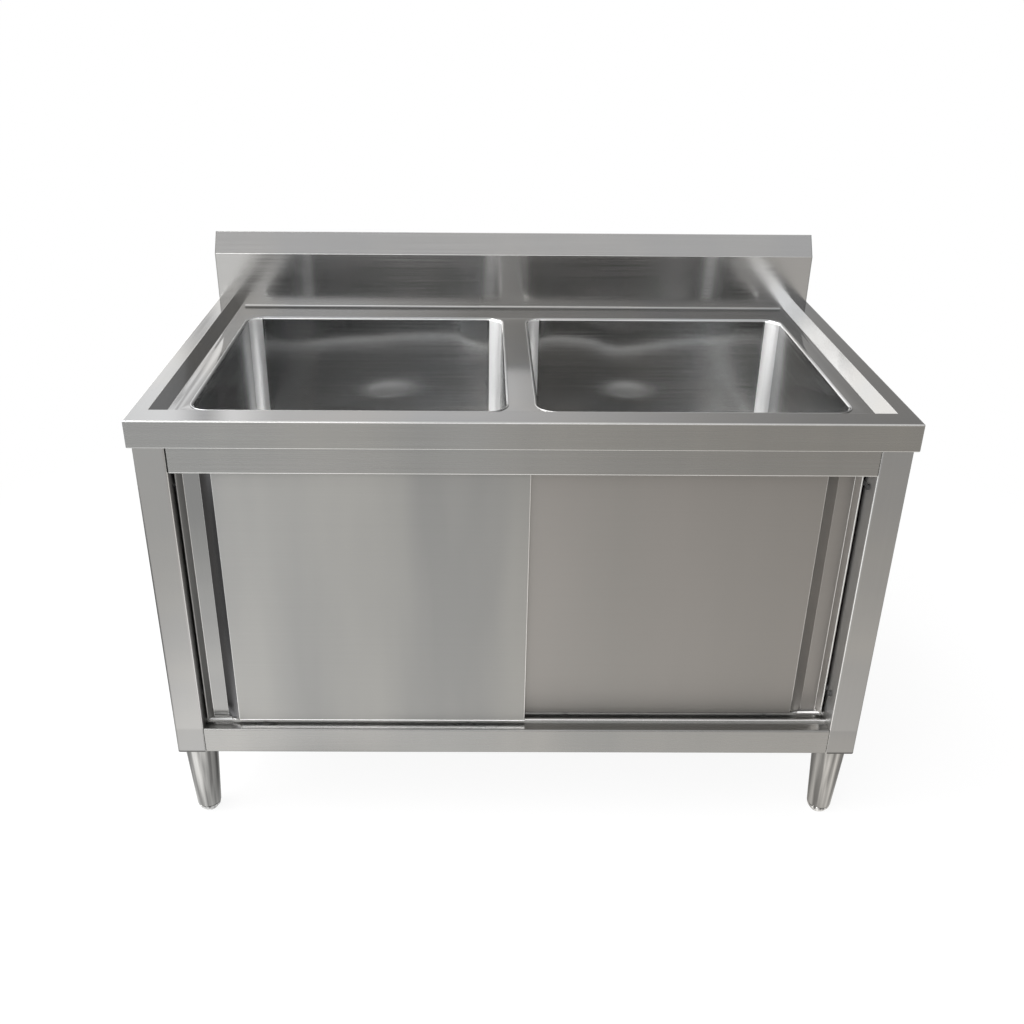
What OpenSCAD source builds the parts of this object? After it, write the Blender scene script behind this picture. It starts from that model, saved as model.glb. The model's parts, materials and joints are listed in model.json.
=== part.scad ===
// Double-bowl sink cabinet in folded stainless sheet, with two sliding doors.
// Millimetres. The origin is on the floor at the middle of the footprint,
// +X to the right, the doors face -Y, +Z up.

/* [Overall] */
// Width over the worktop
unit_w = 1200; // [1180:10:1500]
// Depth from the front apron to the back of the splashback
unit_d = 700; // [690:10:900]
// Height from the floor to the top of the worktop's rim
rim_h = 775; // [755:5:950]
// Height of the feet, from the floor to the bottom of the posts
leg_h = 150; // [130:5:170]
// Thickness of the worktop and splashback sheet
top_t = 1.5; // [1:0.1:3]
// Thickness of the sheet in posts, rails, shelf and panels
sheet_t = 1.2; // [0.8:0.1:2]

/* [Worktop] */
// Height of the apron that hangs round the worktop
apron_h = 45; // [35:1:60]
// Height of the doubled hem along the apron's lower edge
hem_h = 8; // [5:1:12]
// Flat width of the raised rim along the front
rim_front = 45; // [30:1:50]
// Flat width of the raised rim along each side
rim_side = 27; // [20:1:40]
// Depth of the deck below the rim
rim_step = 19; // [10:1:25]
// Width that the sloping band takes between rim and deck
slope_w = 16; // [8:1:20]

/* [Splashback] */
// Height of the splashback above the deck
splash_h = 148; // [120:1:200]
// Height above the deck at which the splashback folds back
splash_fold_h = 108; // [80:1:115]
// Depth of the splashback from front to back
splash_t = 30; // [20:1:36]

/* [Bowls] */
// Inside width of a bowl
bowl_w = 500; // [400:5:510]
// Inside front-to-back size of a bowl
bowl_d = 500; // [380:5:505]
// Depth of a bowl below the deck
bowl_depth = 240; // [200:5:320]
// Width of the deck between the two bowls
bowl_gap = 50; // [40:1:60]
// Deck left between the bowls and the splashback
bowl_back = 75; // [68:1:80]
// Radius of a bowl's upright corners
bowl_r = 30; // [20:1:60]
// Thickness of the bowl sheet
bowl_t = 1.2; // [0.8:0.1:2]
// Width of the flange that joins a bowl to the deck's underside
bowl_flange = 12; // [8:1:13]

/* [Drains] */
// Radius of the drain's flange
drain_flange_r = 57; // [52:1:65]
// Thickness of the drain's flange, and the depth of its seat in the bowl
drain_flange_t = 3; // [2:0.5:4]
// Radius of the drain's threaded body
drain_body_r = 43.5; // [38:0.5:46]
// Wall of the drain's body
drain_wall = 5; // [5:0.5:7]
// Depth of the drain's body below the bowl's floor
drain_body_h = 36; // [30:1:45]
// Depth of the drain's tail below the bowl's floor
drain_tail_h = 60; // [58:1:75]
// Wall of the drain's tail
drain_tail_wall = 3.8; // [2.5:0.1:5]
// Depth of the basket's seat below the bowl's floor
basket_seat_h = 6; // [5:0.5:8]
// Wall of the basket
basket_t = 1; // [0.8:0.1:1.5]
// Radius of the basket's drain holes
basket_hole_r = 4; // [2:0.5:5]
// Radius of the knob that lifts the basket out
knob_r = 8; // [6:0.5:10]
// Thickness of the gasket under the bowl
gasket_t = 2; // [1:0.5:4]
// Height of the nut that clamps the drain to the bowl
locknut_h = 8; // [6:1:14]

/* [Waste pipes] */
// Outside radius of the waste pipes
pipe_r = 20; // [16:1:24]
// Wall of the waste pipes
pipe_wall = 2; // [1.5:0.1:3]
// Radius of the pipe bends, to the pipe's middle
bend_r = 30; // [26:1:35]
// Radius of the bend that holds the water seal, to the pipe's middle
trap_bend_r = 35; // [30:1:45]
// Height of the manifold above the trap's inlet
tee_drop = 35; // [33:1:45]
// Straight length of the trap's inlet leg
trap_leg = 42; // [32:1:50]
// Height of the manifold above the outlet pipe
outlet_drop = 32; // [24:1:40]
// Distance of the outlet pipe's end inside the unit's back
outlet_setback = 50; // [20:1:80]
// Length of the outlet pipe's end that goes into the wall pipe's socket
outlet_socket = 60; // [40:5:80]
// Width of the collar that stops the wall pipe's socket
outlet_collar_w = 3; // [2:0.5:5]
// Height of that collar above the outlet pipe
outlet_collar_h = 3; // [2:0.5:4]
// Height of the slip nut on the outlet pipe
slip_nut_h = 22; // [18:1:26]
// Wall of the slip nuts
slip_nut_wall = 7; // [6:0.5:8]
// Radius of the hole in the back panel for the waste pipe
access_r = 45; // [35:1:60]

/* [Frame] */
// Side of a square post
post_w = 50; // [45:1:60]
// Distance of the posts' outer faces inside the apron's sides
post_inset_x = 7; // [6:0.5:15]
// Distance of the posts' outer faces inside the apron's front and back
post_inset_y = 4; // [4:0.5:15]
// Height of the top rail that shows below the apron
top_rail_h = 43.5; // [30:0.5:60]
// Width of the lip folded back along the lower edges of rail and shelf
rail_lip_w = 10; // [8:1:14]
// Height of the rear and side rails under the worktop
rear_rail_h = 50; // [35:1:70]
// Width of the flange along the top of the rear and side rails
rear_flange_w = 45; // [35:1:50]
// Height of the channel under the deck between the bowls
divider_h = 25; // [15:1:40]
// Height of the bottom shelf's folded edge, which is the bottom rail
shelf_edge_h = 50; // [40:1:60]
// Height of the rib under the bottom shelf
shelf_rib_h = 30; // [20:1:36]
// Width of the rib under the bottom shelf
shelf_rib_w = 60; // [40:1:100]
// Width of the fold that stiffens the edges of the side and back panels
side_fold_w = 13; // [10:1:16]

/* [Doors] */
// Thickness of a door
door_t = 20; // [20:0.5:24]
// Distance of the front door's face behind the rails
door_inset = 16.5; // [12:0.5:18]
// Width by which the closed doors overlap
door_overlap = 27; // [20:1:60]
// Thickness of the door sheet
door_sheet = 1; // [0.8:0.1:1.2]
// Gap between a closed door and its post
door_gap = 4; // [3:0.5:8]
// Distance of the doors' lower edge above the shelf
door_lift = 6; // [6:0.5:12]
// Room above a door for lifting it off its track
door_headroom = 24; // [20:1:26]
// Width of the lip outside the finger pull
pull_lip = 2; // [2:0.5:5]
// Width of the slant from the lip down to the finger pull's floor
pull_wall = 7.5; // [4:0.5:10]
// Width of the finger pull's flat floor
pull_floor = 26; // [20:1:40]
// Width of the slope from the finger pull's floor to the door's face
pull_slope = 21; // [10:1:25]
// Depth of the finger pull
pull_depth = 12; // [8:0.5:14]

/* [Door guides] */
// Distance between the two door tracks
track_pitch = 24; // [24:0.5:29]
// Radius of the track's round ridges
ridge_r = 3; // [2:0.5:4]
// Height of the track's ridges above the shelf
ridge_h = 5; // [4:0.5:6]
// Radius of the rollers under the doors
roller_r = 15; // [12:0.5:18]
// Width of the rollers
roller_w = 10; // [9:0.5:10]
// Radius of the rollers' axles
axle_r = 2.5; // [2:0.1:4]
// Distance of the rollers and top guides from a door's two edges
roller_inset = 100; // [90:5:150]
// Height of the upper guide's web above the top rail's lower edge
guide_web_h = 50; // [46:1:56]
// Height of the upper guide's flanges above the top rail's lower edge
guide_lip_h = 10; // [6:1:14]
// Height of the blocks that run between the upper guide's flanges
guide_block_h = 10; // [8:1:12]
// Length of the blocks that run between the upper guide's flanges
guide_block_w = 30; // [20:1:60]
// Radius of the rubber buffers that stop the doors
buffer_r = 5; // [4:0.5:6]
// Distance of the buffers from a door's upper and lower edges
buffer_inset = 55; // [40:5:100]

/* [Feet] */
// Distance of a foot's axis inside the posts' outer faces
foot_inset = 33; // [30:1:34]
// Radius of a leg sleeve at its top
leg_top_r = 29; // [25:1:30]
// Radius of a leg sleeve at its lower end
leg_end_r = 21; // [18:0.5:24]
// Wall of a leg sleeve
leg_wall = 2.5; // [2:0.1:4]
// Wall left round the levelling foot's shank at the sleeve's lower end
leg_end_wall = 1.8; // [1.5:0.1:3]
// Height of the levelling foot that shows below its sleeve
foot_h = 15; // [10:1:20]
// Radius of the levelling foot where it stands on the floor
foot_end_r = 12; // [8:1:15]
// Distance that a levelling foot screws out
foot_travel = 25; // [10:1:30]
// Length of shank left in the sleeve when the foot is screwed right out
shank_grip = 20; // [15:1:25]
// Radius of the levelling foot's screw
screw_r = 8; // [7:0.5:10]
// Radius of the stud that holds a leg sleeve to its post
stud_r = 6; // [4:0.5:6.5]
// Length of the stud inside the leg sleeve
stud_depth = 25; // [15:1:28]
// Thickness of the plate inside each post's foot
plate_t = 4; // [3:0.5:8]

/* [Fits] */
// Radial clearance of a piece that turns or slides in another
run_fit = 0.05; // [0.03:0.01:0.09]
// Radial clearance of a piece that is fixed in another
fix_fit = 0.02; // [0.01:0.01:0.05]
// Gap left between fixed pieces that lie side by side
seam = 0.2; // [0.1:0.1:0.3]
// Gap left between a moving piece and what it rests on
rest_gap = 0.1; // [0.1:0.05:0.3]
// Gap on each side of a door's guide block
guide_play = 0.3; // [0.2:0.05:0.5]
// Radial gap between the basket and the drain
basket_play = 0.5; // [0.3:0.1:1]
// Gap between a roller's side and its carrier
roller_side_gap = 2.2; // [1.5:0.1:2.4]
// Gap between a levelling foot's shoulder and its sleeve
foot_gap = 0.3; // [0.2:0.1:0.5]

/* [Hidden] */
$fn = 64;

// How far a cutting shape runs past the surface that it cuts.
past = 1;
// How far the manifold's drops reach up into the drains' tails.
drop_reach = 6;

front_y = -unit_d / 2;
back_y = unit_d / 2;
side_x = unit_w / 2;
deck_z = rim_h - rim_step;
deck_under_z = deck_z - top_t;
apron_z = rim_h - apron_h;
slope_len = norm([slope_w, rim_step]);
splash_y = back_y - splash_t;

bowl_x = (bowl_w + bowl_gap) / 2;
bowl_y = splash_y - bowl_back - bowl_d / 2;
bowl_floor_z = deck_z - bowl_depth;

drain_seat_r = drain_flange_r + 1;
drain_hole_r = drain_body_r + 1;
drain_bore_r = drain_body_r - drain_wall;
drain_tail_bore_r = pipe_r + seam;
drain_tail_r = drain_tail_bore_r + drain_tail_wall;
drain_under_z = -drain_flange_t - bowl_t;
basket_r = drain_bore_r - basket_play;
basket_low_z = -drain_body_h + 2;
ledge_r = drain_bore_r + 3;

manifold_z = bowl_floor_z - drain_tail_h - 4 - bend_r;
trap_top_z = manifold_z - tee_drop;
trap_turn_z = trap_top_z - trap_leg;
trap_out_z = manifold_z - outlet_drop;
outlet_start_y = bowl_y + 2 * trap_bend_r + bend_r + 10;
outlet_end_y = back_y - outlet_setback;

post_x = side_x - post_inset_x;
post_y = unit_d / 2 - post_inset_y;
opening_x = post_x - post_w;
span_x = opening_x - seam;
span_y = post_y - post_w - seam;
behind_sheet = sheet_t + seam;
shelf_z = leg_h + shelf_edge_h;
rail_z = apron_z - top_rail_h;

door_w = opening_x - door_gap + door_overlap / 2;
door_face_y = -post_y + door_inset;
track_y = door_face_y + door_t / 2;
door_z = shelf_z + door_lift;
guide_web_z = rail_z + guide_web_h;
guide_flange_z = rail_z + guide_lip_h;
guide_rear_y = track_y + 1.5 * track_pitch;
rail_flange_w = guide_rear_y + post_y + 9.5;
door_top_z = guide_web_z - door_headroom;
door_h = door_top_z - door_z;
pull_w = pull_lip + pull_wall + pull_floor + pull_slope;
groove_r = ridge_r + rest_gap;
ridge_z = shelf_z + ridge_h - ridge_r;
tread_r = roller_r - groove_r;
roller_z = shelf_z + ridge_h + rest_gap + tread_r;
roller_places = [roller_inset, door_w - roller_inset];
carrier_half = roller_w / 2 + roller_side_gap + sheet_t;
carrier_z = roller_z + roller_r + 1;

foot_x = post_x - foot_inset;
foot_y = post_y - foot_inset;
shank_r = leg_end_r - leg_end_wall;
shank_top_z = foot_h + foot_travel + shank_grip;
leg_cavity_z = shank_top_z + 2;
screw_top_z = leg_h - stud_depth - 20;

// ---- helpers ----

// Extrudes a section drawn in Y and Z from x0 to x1.
module along_x(x0, x1) {
    translate([x0, 0, 0]) rotate([90, 0, 90]) linear_extrude(x1 - x0) children();
}

// Extrudes a section drawn in X and Z from y0 to y1.
module along_y(y0, y1) {
    translate([0, y1, 0]) rotate([90, 0, 0]) linear_extrude(y1 - y0) children();
}

// A box from its low corner to its high corner.
module block(low, high) {
    translate(low) cube(high - low);
}

// One straight run of sheet along the line from a to b.
module sheet_run(a, b, t) {
    run = b - a;
    translate(a) rotate(atan2(run[1], run[0])) translate([0, -t / 2]) square([norm(run), t]);
}

// The section of a folded sheet whose middle follows the points, with round bends.
module folded(points, t) {
    for (i = [0:len(points) - 2]) sheet_run(points[i], points[i + 1], t);
    for (i = [1:len(points) - 2]) translate(points[i]) circle(d = t);
}

// A rectangle on the origin with rounded corners.
module rounded_rect(w, d, r) {
    square([w - 2 * r, d], center = true);
    square([w, d - 2 * r], center = true);
    for (sx = [-1, 1], sy = [-1, 1])
        translate([sx * (w / 2 - r), sy * (d / 2 - r)]) circle(r);
}

// A flat ring or a tube that stands on z.
module ring(outer_r, inner_r, z, h) {
    translate([0, 0, z]) difference() {
        cylinder(r = outer_r, h = h);
        translate([0, 0, -past]) cylinder(r = inner_r, h = h + 2 * past);
    }
}

// A copy at each of the four corners of a rectangle on the origin.
module at_corners(x, y) {
    for (sx = [-1, 1], sy = [-1, 1]) translate([sx * x, sy * y, 0]) children();
}

// ---- worktop ----

// Half-width of the sunken deck at height z, moved out by a sheet of thickness g.
function band_x(z, g) =
    side_x - rim_side - slope_w + (z - deck_z) * slope_w / rim_step + g * slope_len / rim_step;

// Distance of the sunken deck's front edge from the middle, at height z.
function band_y(z, g) =
    unit_d / 2 - rim_front - slope_w + (z - deck_z) * slope_w / rim_step
    + g * slope_len / rim_step;

// The space above the deck, with sloping bands at the front and sides.
module deck_recess(g, rear_y) {
    low = deck_z - g;
    high = rim_h + past;
    intersection() {
        along_y(front_y, rear_y) polygon([[-band_x(low, g), low], [band_x(low, g), low],
            [band_x(high, g), high], [-band_x(high, g), high]]);
        along_x(-side_x, side_x) polygon([[-band_y(low, g), low], [rear_y, low],
            [rear_y, high], [-band_y(high, g), high]]);
    }
}

// The hollow below the worktop sheet, d inside the apron's outer faces.
module worktop_hollow(d, low) {
    block([-side_x + d, front_y + d, low], [side_x - d, splash_y - top_t, rim_h - top_t]);
    block([-side_x + d, splash_y - top_t - past, low], [side_x - d, back_y - d, deck_under_z]);
}

// The raised rim, sunken deck and hemmed apron, with the two bowl openings.
module worktop() {
    color("silver") difference() {
        union() {
            block([-side_x, front_y, apron_z], [side_x, splash_y, rim_h]);
            block([-side_x, splash_y - past, apron_z], [side_x, back_y, deck_z]);
        }
        deck_recess(0, splash_y + past);
        difference() {
            union() {
                worktop_hollow(2 * top_t, apron_z - past);
                worktop_hollow(top_t, apron_z + hem_h);
            }
            deck_recess(top_t, splash_y);
        }
        for (sx = [-1, 1]) translate([sx * bowl_x, bowl_y, deck_under_z - past])
            linear_extrude(top_t + 2 * past) rounded_rect(bowl_w, bowl_d, bowl_r);
    }
}

// One folded sheet: front face, sloping top band and back.
module splashback() {
    h = top_t / 2;
    color("silver") along_x(-side_x + top_t, side_x - top_t)
        folded([[splash_y + h, deck_z], [splash_y + h, deck_z + splash_fold_h],
            [back_y - h, deck_z + splash_h - h], [back_y - h, deck_z]], top_t);
}

module splash_end_caps() {
    top_z = deck_z + splash_h;
    color("silver") for (x = [-side_x, side_x - top_t])
        along_x(x, x + top_t) polygon([[splash_y, deck_z], [splash_y, deck_z + splash_fold_h],
            [back_y - top_t / 2, top_z], [back_y, top_z - top_t], [back_y, deck_z]]);
}

// ---- bowls and drains ----

// A welded bowl with a flange under the deck and a sunken seat for its drain.
module bowl(sx) {
    outer_w = bowl_w + 2 * bowl_t;
    outer_d = bowl_d + 2 * bowl_t;
    seat_h = drain_flange_t + bowl_t;
    color("silver") translate([sx * bowl_x, bowl_y, bowl_floor_z]) difference() {
        union() {
            translate([0, 0, bowl_depth - top_t - bowl_t]) linear_extrude(bowl_t)
                rounded_rect(bowl_w + 2 * bowl_flange, bowl_d + 2 * bowl_flange,
                    bowl_r + bowl_flange);
            translate([0, 0, -bowl_t]) linear_extrude(bowl_depth - top_t + bowl_t)
                rounded_rect(outer_w, outer_d, bowl_r + bowl_t);
            translate([0, 0, -seat_h]) cylinder(r = drain_seat_r + bowl_t, h = seat_h);
        }
        linear_extrude(bowl_depth) rounded_rect(bowl_w, bowl_d, bowl_r);
        translate([0, 0, -drain_flange_t]) cylinder(r = drain_seat_r, h = drain_flange_t + past);
        translate([0, 0, -seat_h - past]) cylinder(r = drain_hole_r, h = seat_h + 2 * past);
    }
}

// Puts a piece on a drain's axis, with z = 0 at the bowl's floor.
module at_drain(sx) {
    translate([sx * bowl_x, bowl_y, bowl_floor_z]) children();
}

// The drain: flange, ledge for the basket, threaded body and tail.
module drain(sx) {
    cone_h = 12;
    wall = 1;
    chamfer = 3;
    color("silver") at_drain(sx) rotate_extrude() polygon([
        [drain_flange_r, 0], [drain_flange_r, -drain_flange_t],
        [drain_body_r, -drain_flange_t], [drain_body_r, -drain_body_h],
        [drain_tail_r, -drain_body_h - cone_h], [drain_tail_r, -drain_tail_h],
        [drain_tail_bore_r, -drain_tail_h], [drain_tail_bore_r, -drain_body_h - cone_h + 2 * wall],
        [drain_bore_r, -drain_body_h + wall], [drain_bore_r, -basket_seat_h],
        [ledge_r, -basket_seat_h], [ledge_r, -basket_seat_h + wall], [ledge_r + chamfer, 0]]);
}

// The strainer basket, with a ring of holes in its floor and a lifting knob.
module basket(sx) {
    rim_z = -basket_seat_h + rest_gap;
    holes = 8;
    stem_r = 3;
    knob_h = 3;
    knob_taper = 1;
    knob_z = -basket_seat_h + 4;
    holes_r = 0.6 * basket_r;
    color("silver") at_drain(sx) difference() {
        rotate_extrude() polygon([[0, basket_low_z], [basket_r, basket_low_z],
            [basket_r, rim_z], [ledge_r - basket_play, rim_z],
            [ledge_r - basket_play, rim_z + basket_t], [basket_r - basket_t, rim_z + basket_t],
            [basket_r - basket_t, basket_low_z + basket_t], [stem_r, basket_low_z + basket_t],
            [stem_r, knob_z - knob_h - knob_taper], [knob_r, knob_z - knob_h],
            [knob_r, knob_z], [0, knob_z]]);
        for (i = [0:holes - 1]) rotate(i * 360 / holes)
            translate([holes_r, 0, basket_low_z - past])
                cylinder(r = basket_hole_r, h = basket_t + 2 * past);
    }
}

module drain_gaskets() {
    color("dimgray") for (sx = [-1, 1]) at_drain(sx)
        ring(drain_flange_r, drain_body_r + seam / 2, drain_under_z - gasket_t, gasket_t);
}

// Round nuts with six notches for a spanner.
module drain_locknuts() {
    low = drain_under_z - gasket_t - locknut_h;
    nut_r = drain_flange_r - 1;
    notches = 6;
    notch_r = 6;
    color("gainsboro") for (sx = [-1, 1]) at_drain(sx) difference() {
        ring(nut_r, drain_body_r + seam / 2, low, locknut_h);
        for (i = [0:notches - 1]) rotate(i * 360 / notches) translate([nut_r, 0, low - past])
            cylinder(r = notch_r, h = locknut_h + 2 * past);
    }
}

// ---- waste pipes ----

// The lines of the manifold: two drops, two bends, the level pipe and the tee.
module manifold_solid(r) {
    top_z = bowl_floor_z - drain_tail_h + drop_reach;
    for (sx = [-1, 1]) {
        translate([sx * bowl_x, bowl_y, manifold_z + bend_r])
            cylinder(r = r, h = top_z - manifold_z - bend_r);
        translate([sx * (bowl_x - bend_r), bowl_y, manifold_z + bend_r]) rotate([90, 0, 0])
            rotate_extrude(angle = 90, start = sx > 0 ? 270 : 180)
                translate([bend_r, 0]) circle(r);
    }
    translate([-bowl_x + bend_r, bowl_y, manifold_z]) rotate([0, 90, 0])
        cylinder(r = r, h = 2 * (bowl_x - bend_r));
    translate([0, bowl_y, trap_top_z]) cylinder(r = r, h = tee_drop);
}

module waste_manifold() {
    bore_r = pipe_r - pipe_wall;
    color("whitesmoke") difference() {
        manifold_solid(pipe_r);
        manifold_solid(bore_r);
        for (sx = [-1, 1]) translate([sx * bowl_x, bowl_y, bowl_floor_z - drain_tail_h])
            cylinder(r = bore_r, h = drop_reach + past);
        translate([0, bowl_y, trap_top_z - past]) cylinder(r = bore_r, h = 2 * past);
    }
}

// A level length of pipe from y0 to y1, on the outlet's axis.
module outlet_run(y0, y1, r) {
    translate([0, y1, trap_out_z]) rotate([90, 0, 0]) cylinder(r = r, h = y1 - y0);
}

// The trap: down from the tee, round the water seal, up, and over to the outlet.
module trap_solid(r) {
    out_turn_z = trap_out_z - bend_r;
    rise_y = bowl_y + 2 * trap_bend_r;
    translate([0, bowl_y, trap_turn_z]) cylinder(r = r, h = trap_leg - seam);
    translate([0, bowl_y + trap_bend_r, trap_turn_z]) rotate([90, 0, 90])
        rotate_extrude(angle = 180, start = 180) translate([trap_bend_r, 0]) circle(r);
    translate([0, rise_y, trap_turn_z]) cylinder(r = r, h = out_turn_z - trap_turn_z);
    translate([0, rise_y + bend_r, out_turn_z]) rotate([90, 0, 90])
        rotate_extrude(angle = 90, start = 90) translate([bend_r, 0]) circle(r);
    outlet_run(rise_y + bend_r, outlet_start_y, r);
}

module p_trap() {
    bore_r = pipe_r - pipe_wall;
    color("whitesmoke") difference() {
        trap_solid(pipe_r);
        trap_solid(bore_r);
        translate([0, bowl_y, trap_top_z - seam - past]) cylinder(r = bore_r, h = 2 * past);
        outlet_run(outlet_start_y - past, outlet_start_y + past, bore_r);
    }
}

module waste_outlet() {
    collar_y = outlet_end_y - outlet_socket;
    color("whitesmoke") difference() {
        union() {
            outlet_run(outlet_start_y + seam, outlet_end_y, pipe_r);
            outlet_run(collar_y - outlet_collar_w, collar_y, pipe_r + outlet_collar_h);
        }
        outlet_run(outlet_start_y, outlet_end_y + past, pipe_r - pipe_wall);
    }
}

// A fluted union nut with its axis along Z.
module slip_nut(hole_r, h) {
    flutes = 8;
    flute_r = 4.5;
    flute_out = 2;
    nut_r = hole_r + slip_nut_wall;
    difference() {
        ring(nut_r, hole_r, 0, h);
        for (i = [0:flutes - 1]) rotate((i + 0.5) * 360 / flutes)
            translate([nut_r + flute_out, 0, -past]) cylinder(r = flute_r, h = h + 2 * past);
    }
}

module slip_nuts() {
    tail_nut_h = slip_nut_h / 2;
    tail_nut_z = 0.5 - drain_tail_h - tail_nut_h / 2;
    tee_nut_h = slip_nut_h - 6;
    tee_nut_z = trap_top_z - 11;
    pipe_hole_r = pipe_r + seam / 2;
    color("gainsboro") {
        for (sx = [-1, 1]) at_drain(sx)
            translate([0, 0, tail_nut_z])
                slip_nut(drain_tail_r + seam / 2, tail_nut_h);
        translate([0, bowl_y, tee_nut_z]) slip_nut(pipe_hole_r, tee_nut_h);
        translate([0, outlet_start_y + slip_nut_h / 2, trap_out_z]) rotate([90, 0, 0])
            slip_nut(pipe_hole_r, slip_nut_h);
    }
}

// ---- frame ----

module post(sx, sy) {
    color("silver") translate([sx * (post_x - post_w / 2), sy * (post_y - post_w / 2), leg_h])
        linear_extrude(deck_under_z - leg_h) difference() {
            square(post_w, center = true);
            square(post_w - 2 * sheet_t, center = true);
        }
}

// The front rail, folded back below and under the deck.
module top_rail() {
    h = sheet_t / 2;
    color("silver") along_x(-span_x, span_x)
        folded([[-post_y + rail_lip_w, rail_z + h], [-post_y + h, rail_z + h],
            [-post_y + h, deck_under_z - h], [-post_y + rail_flange_w, deck_under_z - h]],
            sheet_t);
}

module rear_top_rail() {
    h = sheet_t / 2;
    y = post_y - behind_sheet - h;
    x = span_x - behind_sheet;
    color("silver") along_x(-x, x)
        folded([[y, deck_under_z - rear_rail_h], [y, deck_under_z - h],
            [y - rear_flange_w, deck_under_z - h]], sheet_t);
}

module side_top_rails() {
    h = sheet_t / 2;
    x = post_x - behind_sheet - h;
    y = span_y - behind_sheet;
    color("silver") for (sx = [-1, 1])
        along_y(-y, y)
            folded([[sx * x, deck_under_z - rear_rail_h], [sx * x, deck_under_z - h],
                [sx * (x - rear_flange_w), deck_under_z - h]], sheet_t);
}

// A channel that carries the strip of deck between the bowls.
module divider_stiffener() {
    h = sheet_t / 2;
    play = 2;
    x = bowl_gap / 2 - bowl_flange - play - h;
    low = deck_under_z - divider_h;
    rear_y = post_y - behind_sheet - h - rear_flange_w - seam;
    color("silver") along_y(-post_y + rail_flange_w + seam, rear_y)
        folded([[-x, low], [-x, deck_under_z - h], [x, deck_under_z - h], [x, low]], sheet_t);
}

// The shelf with its front and rear folded down as rails, and its sides between the posts.
module bottom_shelf() {
    h = sheet_t / 2;
    y = post_y - h;
    side_y = span_y - behind_sheet;
    x = post_x - behind_sheet - h;
    color("silver") {
        along_x(-span_x, span_x)
            folded([[-y + rail_lip_w, leg_h + h], [-y, leg_h + h], [-y, shelf_z - h],
                [y, shelf_z - h], [y, leg_h + h], [y - rail_lip_w, leg_h + h]], sheet_t);
        for (sx = [-1, 1]) along_y(-side_y, side_y)
            folded([[sx * (span_x - past), shelf_z - h], [sx * x, shelf_z - h],
                [sx * x, leg_h]], sheet_t);
    }
}

// A hat-shaped rib along the middle of the shelf's underside.
module shelf_stiffener() {
    h = sheet_t / 2;
    top = shelf_z - sheet_t - h;
    low = top - shelf_rib_h;
    half = shelf_rib_w / 2;
    flange = 20;
    lean = 5;
    end_gap = 20;
    color("silver") along_x(-span_x + end_gap, span_x - end_gap)
        folded([[-half - flange, top], [-half, top], [-half + lean, low], [half - lean, low],
            [half, top], [half + flange, top]], sheet_t);
}

module side_panel(sx) {
    h = sheet_t / 2;
    x = sx * (post_x - h);
    fold_x = sx * (post_x - side_fold_w);
    y = span_y - h;
    color("silver") translate([0, 0, leg_h]) linear_extrude(deck_under_z - leg_h)
        folded([[fold_x, -y], [x, -y], [x, y], [fold_x, y]], sheet_t);
}

// The back sheet, with a hole through which the waste pipe reaches the wall.
module back_panel() {
    h = sheet_t / 2;
    x = span_x - h;
    y = post_y - h;
    color("silver") difference() {
        translate([0, 0, shelf_z + seam]) linear_extrude(deck_under_z - shelf_z - seam)
            folded([[-x, y - side_fold_w], [-x, y], [x, y], [x, y - side_fold_w]], sheet_t);
        outlet_run(post_y - sheet_t - past, post_y + past, access_r);
    }
}

// ---- door guides ----

// Two ridges on the shelf, round on top, that the doors' rollers run along.
module door_track() {
    end_play = 0.5;
    ends = opening_x - end_play;
    color("gainsboro") for (i = [0, 1])
        along_x(-ends, ends) intersection() {
            translate([track_y + i * track_pitch, ridge_z]) union() {
                circle(ridge_r);
                translate([-ridge_r, -ridge_h]) square([2 * ridge_r, ridge_h]);
            }
            translate([track_y + i * track_pitch - ridge_r, shelf_z])
                square([2 * ridge_r, ridge_h]);
        }
}

// An E-shaped channel behind the top rail, with one slot for each door.
module upper_guide() {
    t = sheet_t;
    front = -post_y + t;
    rear = guide_rear_y + t / 2;
    color("silver") along_x(-span_x, span_x) {
        translate([front, guide_web_z]) square([rear - front, t]);
        for (i = [-0.5, 0.5, 1.5])
            translate([track_y + i * track_pitch - t / 2, guide_flange_z])
                square([t, guide_web_h - guide_lip_h + t / 2]);
        translate([rear - t, guide_web_z]) square([t, deck_under_z - t - guide_web_z]);
    }
}

// Two buffers for each door on each front post: one where it closes, one where it opens.
module door_buffers() {
    edge_gap = 1;
    rear_door_y = -post_y + post_w - buffer_r - edge_gap;
    color("dimgray") for (sx = [-1, 1], z = [door_z + buffer_inset, door_top_z - buffer_inset],
            y = [track_y, rear_door_y])
        translate([sx > 0 ? opening_x - door_gap + seam : -opening_x, y, z])
            rotate([0, 90, 0]) cylinder(r = buffer_r, h = door_gap - seam);
}

// ---- doors ----

// Draws a door: x runs from its outer edge to the middle, y from its face to the back.
module place_door(sx) {
    y = door_face_y + (sx > 0 ? track_pitch : 0);
    x = opening_x - door_gap;
    if (sx > 0) translate([x, y, 0]) mirror([1, 0, 0]) children();
    else translate([-x, y, 0]) children();
}

// The room that the finger pull takes inside a door, with g left round its sheet's middle.
module pull_room(g) {
    rise = pull_depth - door_sheet;
    floor_y = pull_depth - door_sheet / 2 + g;
    depth = floor_y - door_sheet / 2;
    wall_x = pull_lip - g * norm([pull_wall, rise]) / rise;
    slope_x = pull_w + g * norm([pull_slope, rise]) / rise;
    polygon([[wall_x, -past], [wall_x, door_sheet / 2],
        [wall_x + depth * pull_wall / rise, floor_y], [slope_x - depth * pull_slope / rise, floor_y],
        [slope_x, door_sheet / 2], [slope_x, -past]]);
}

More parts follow.
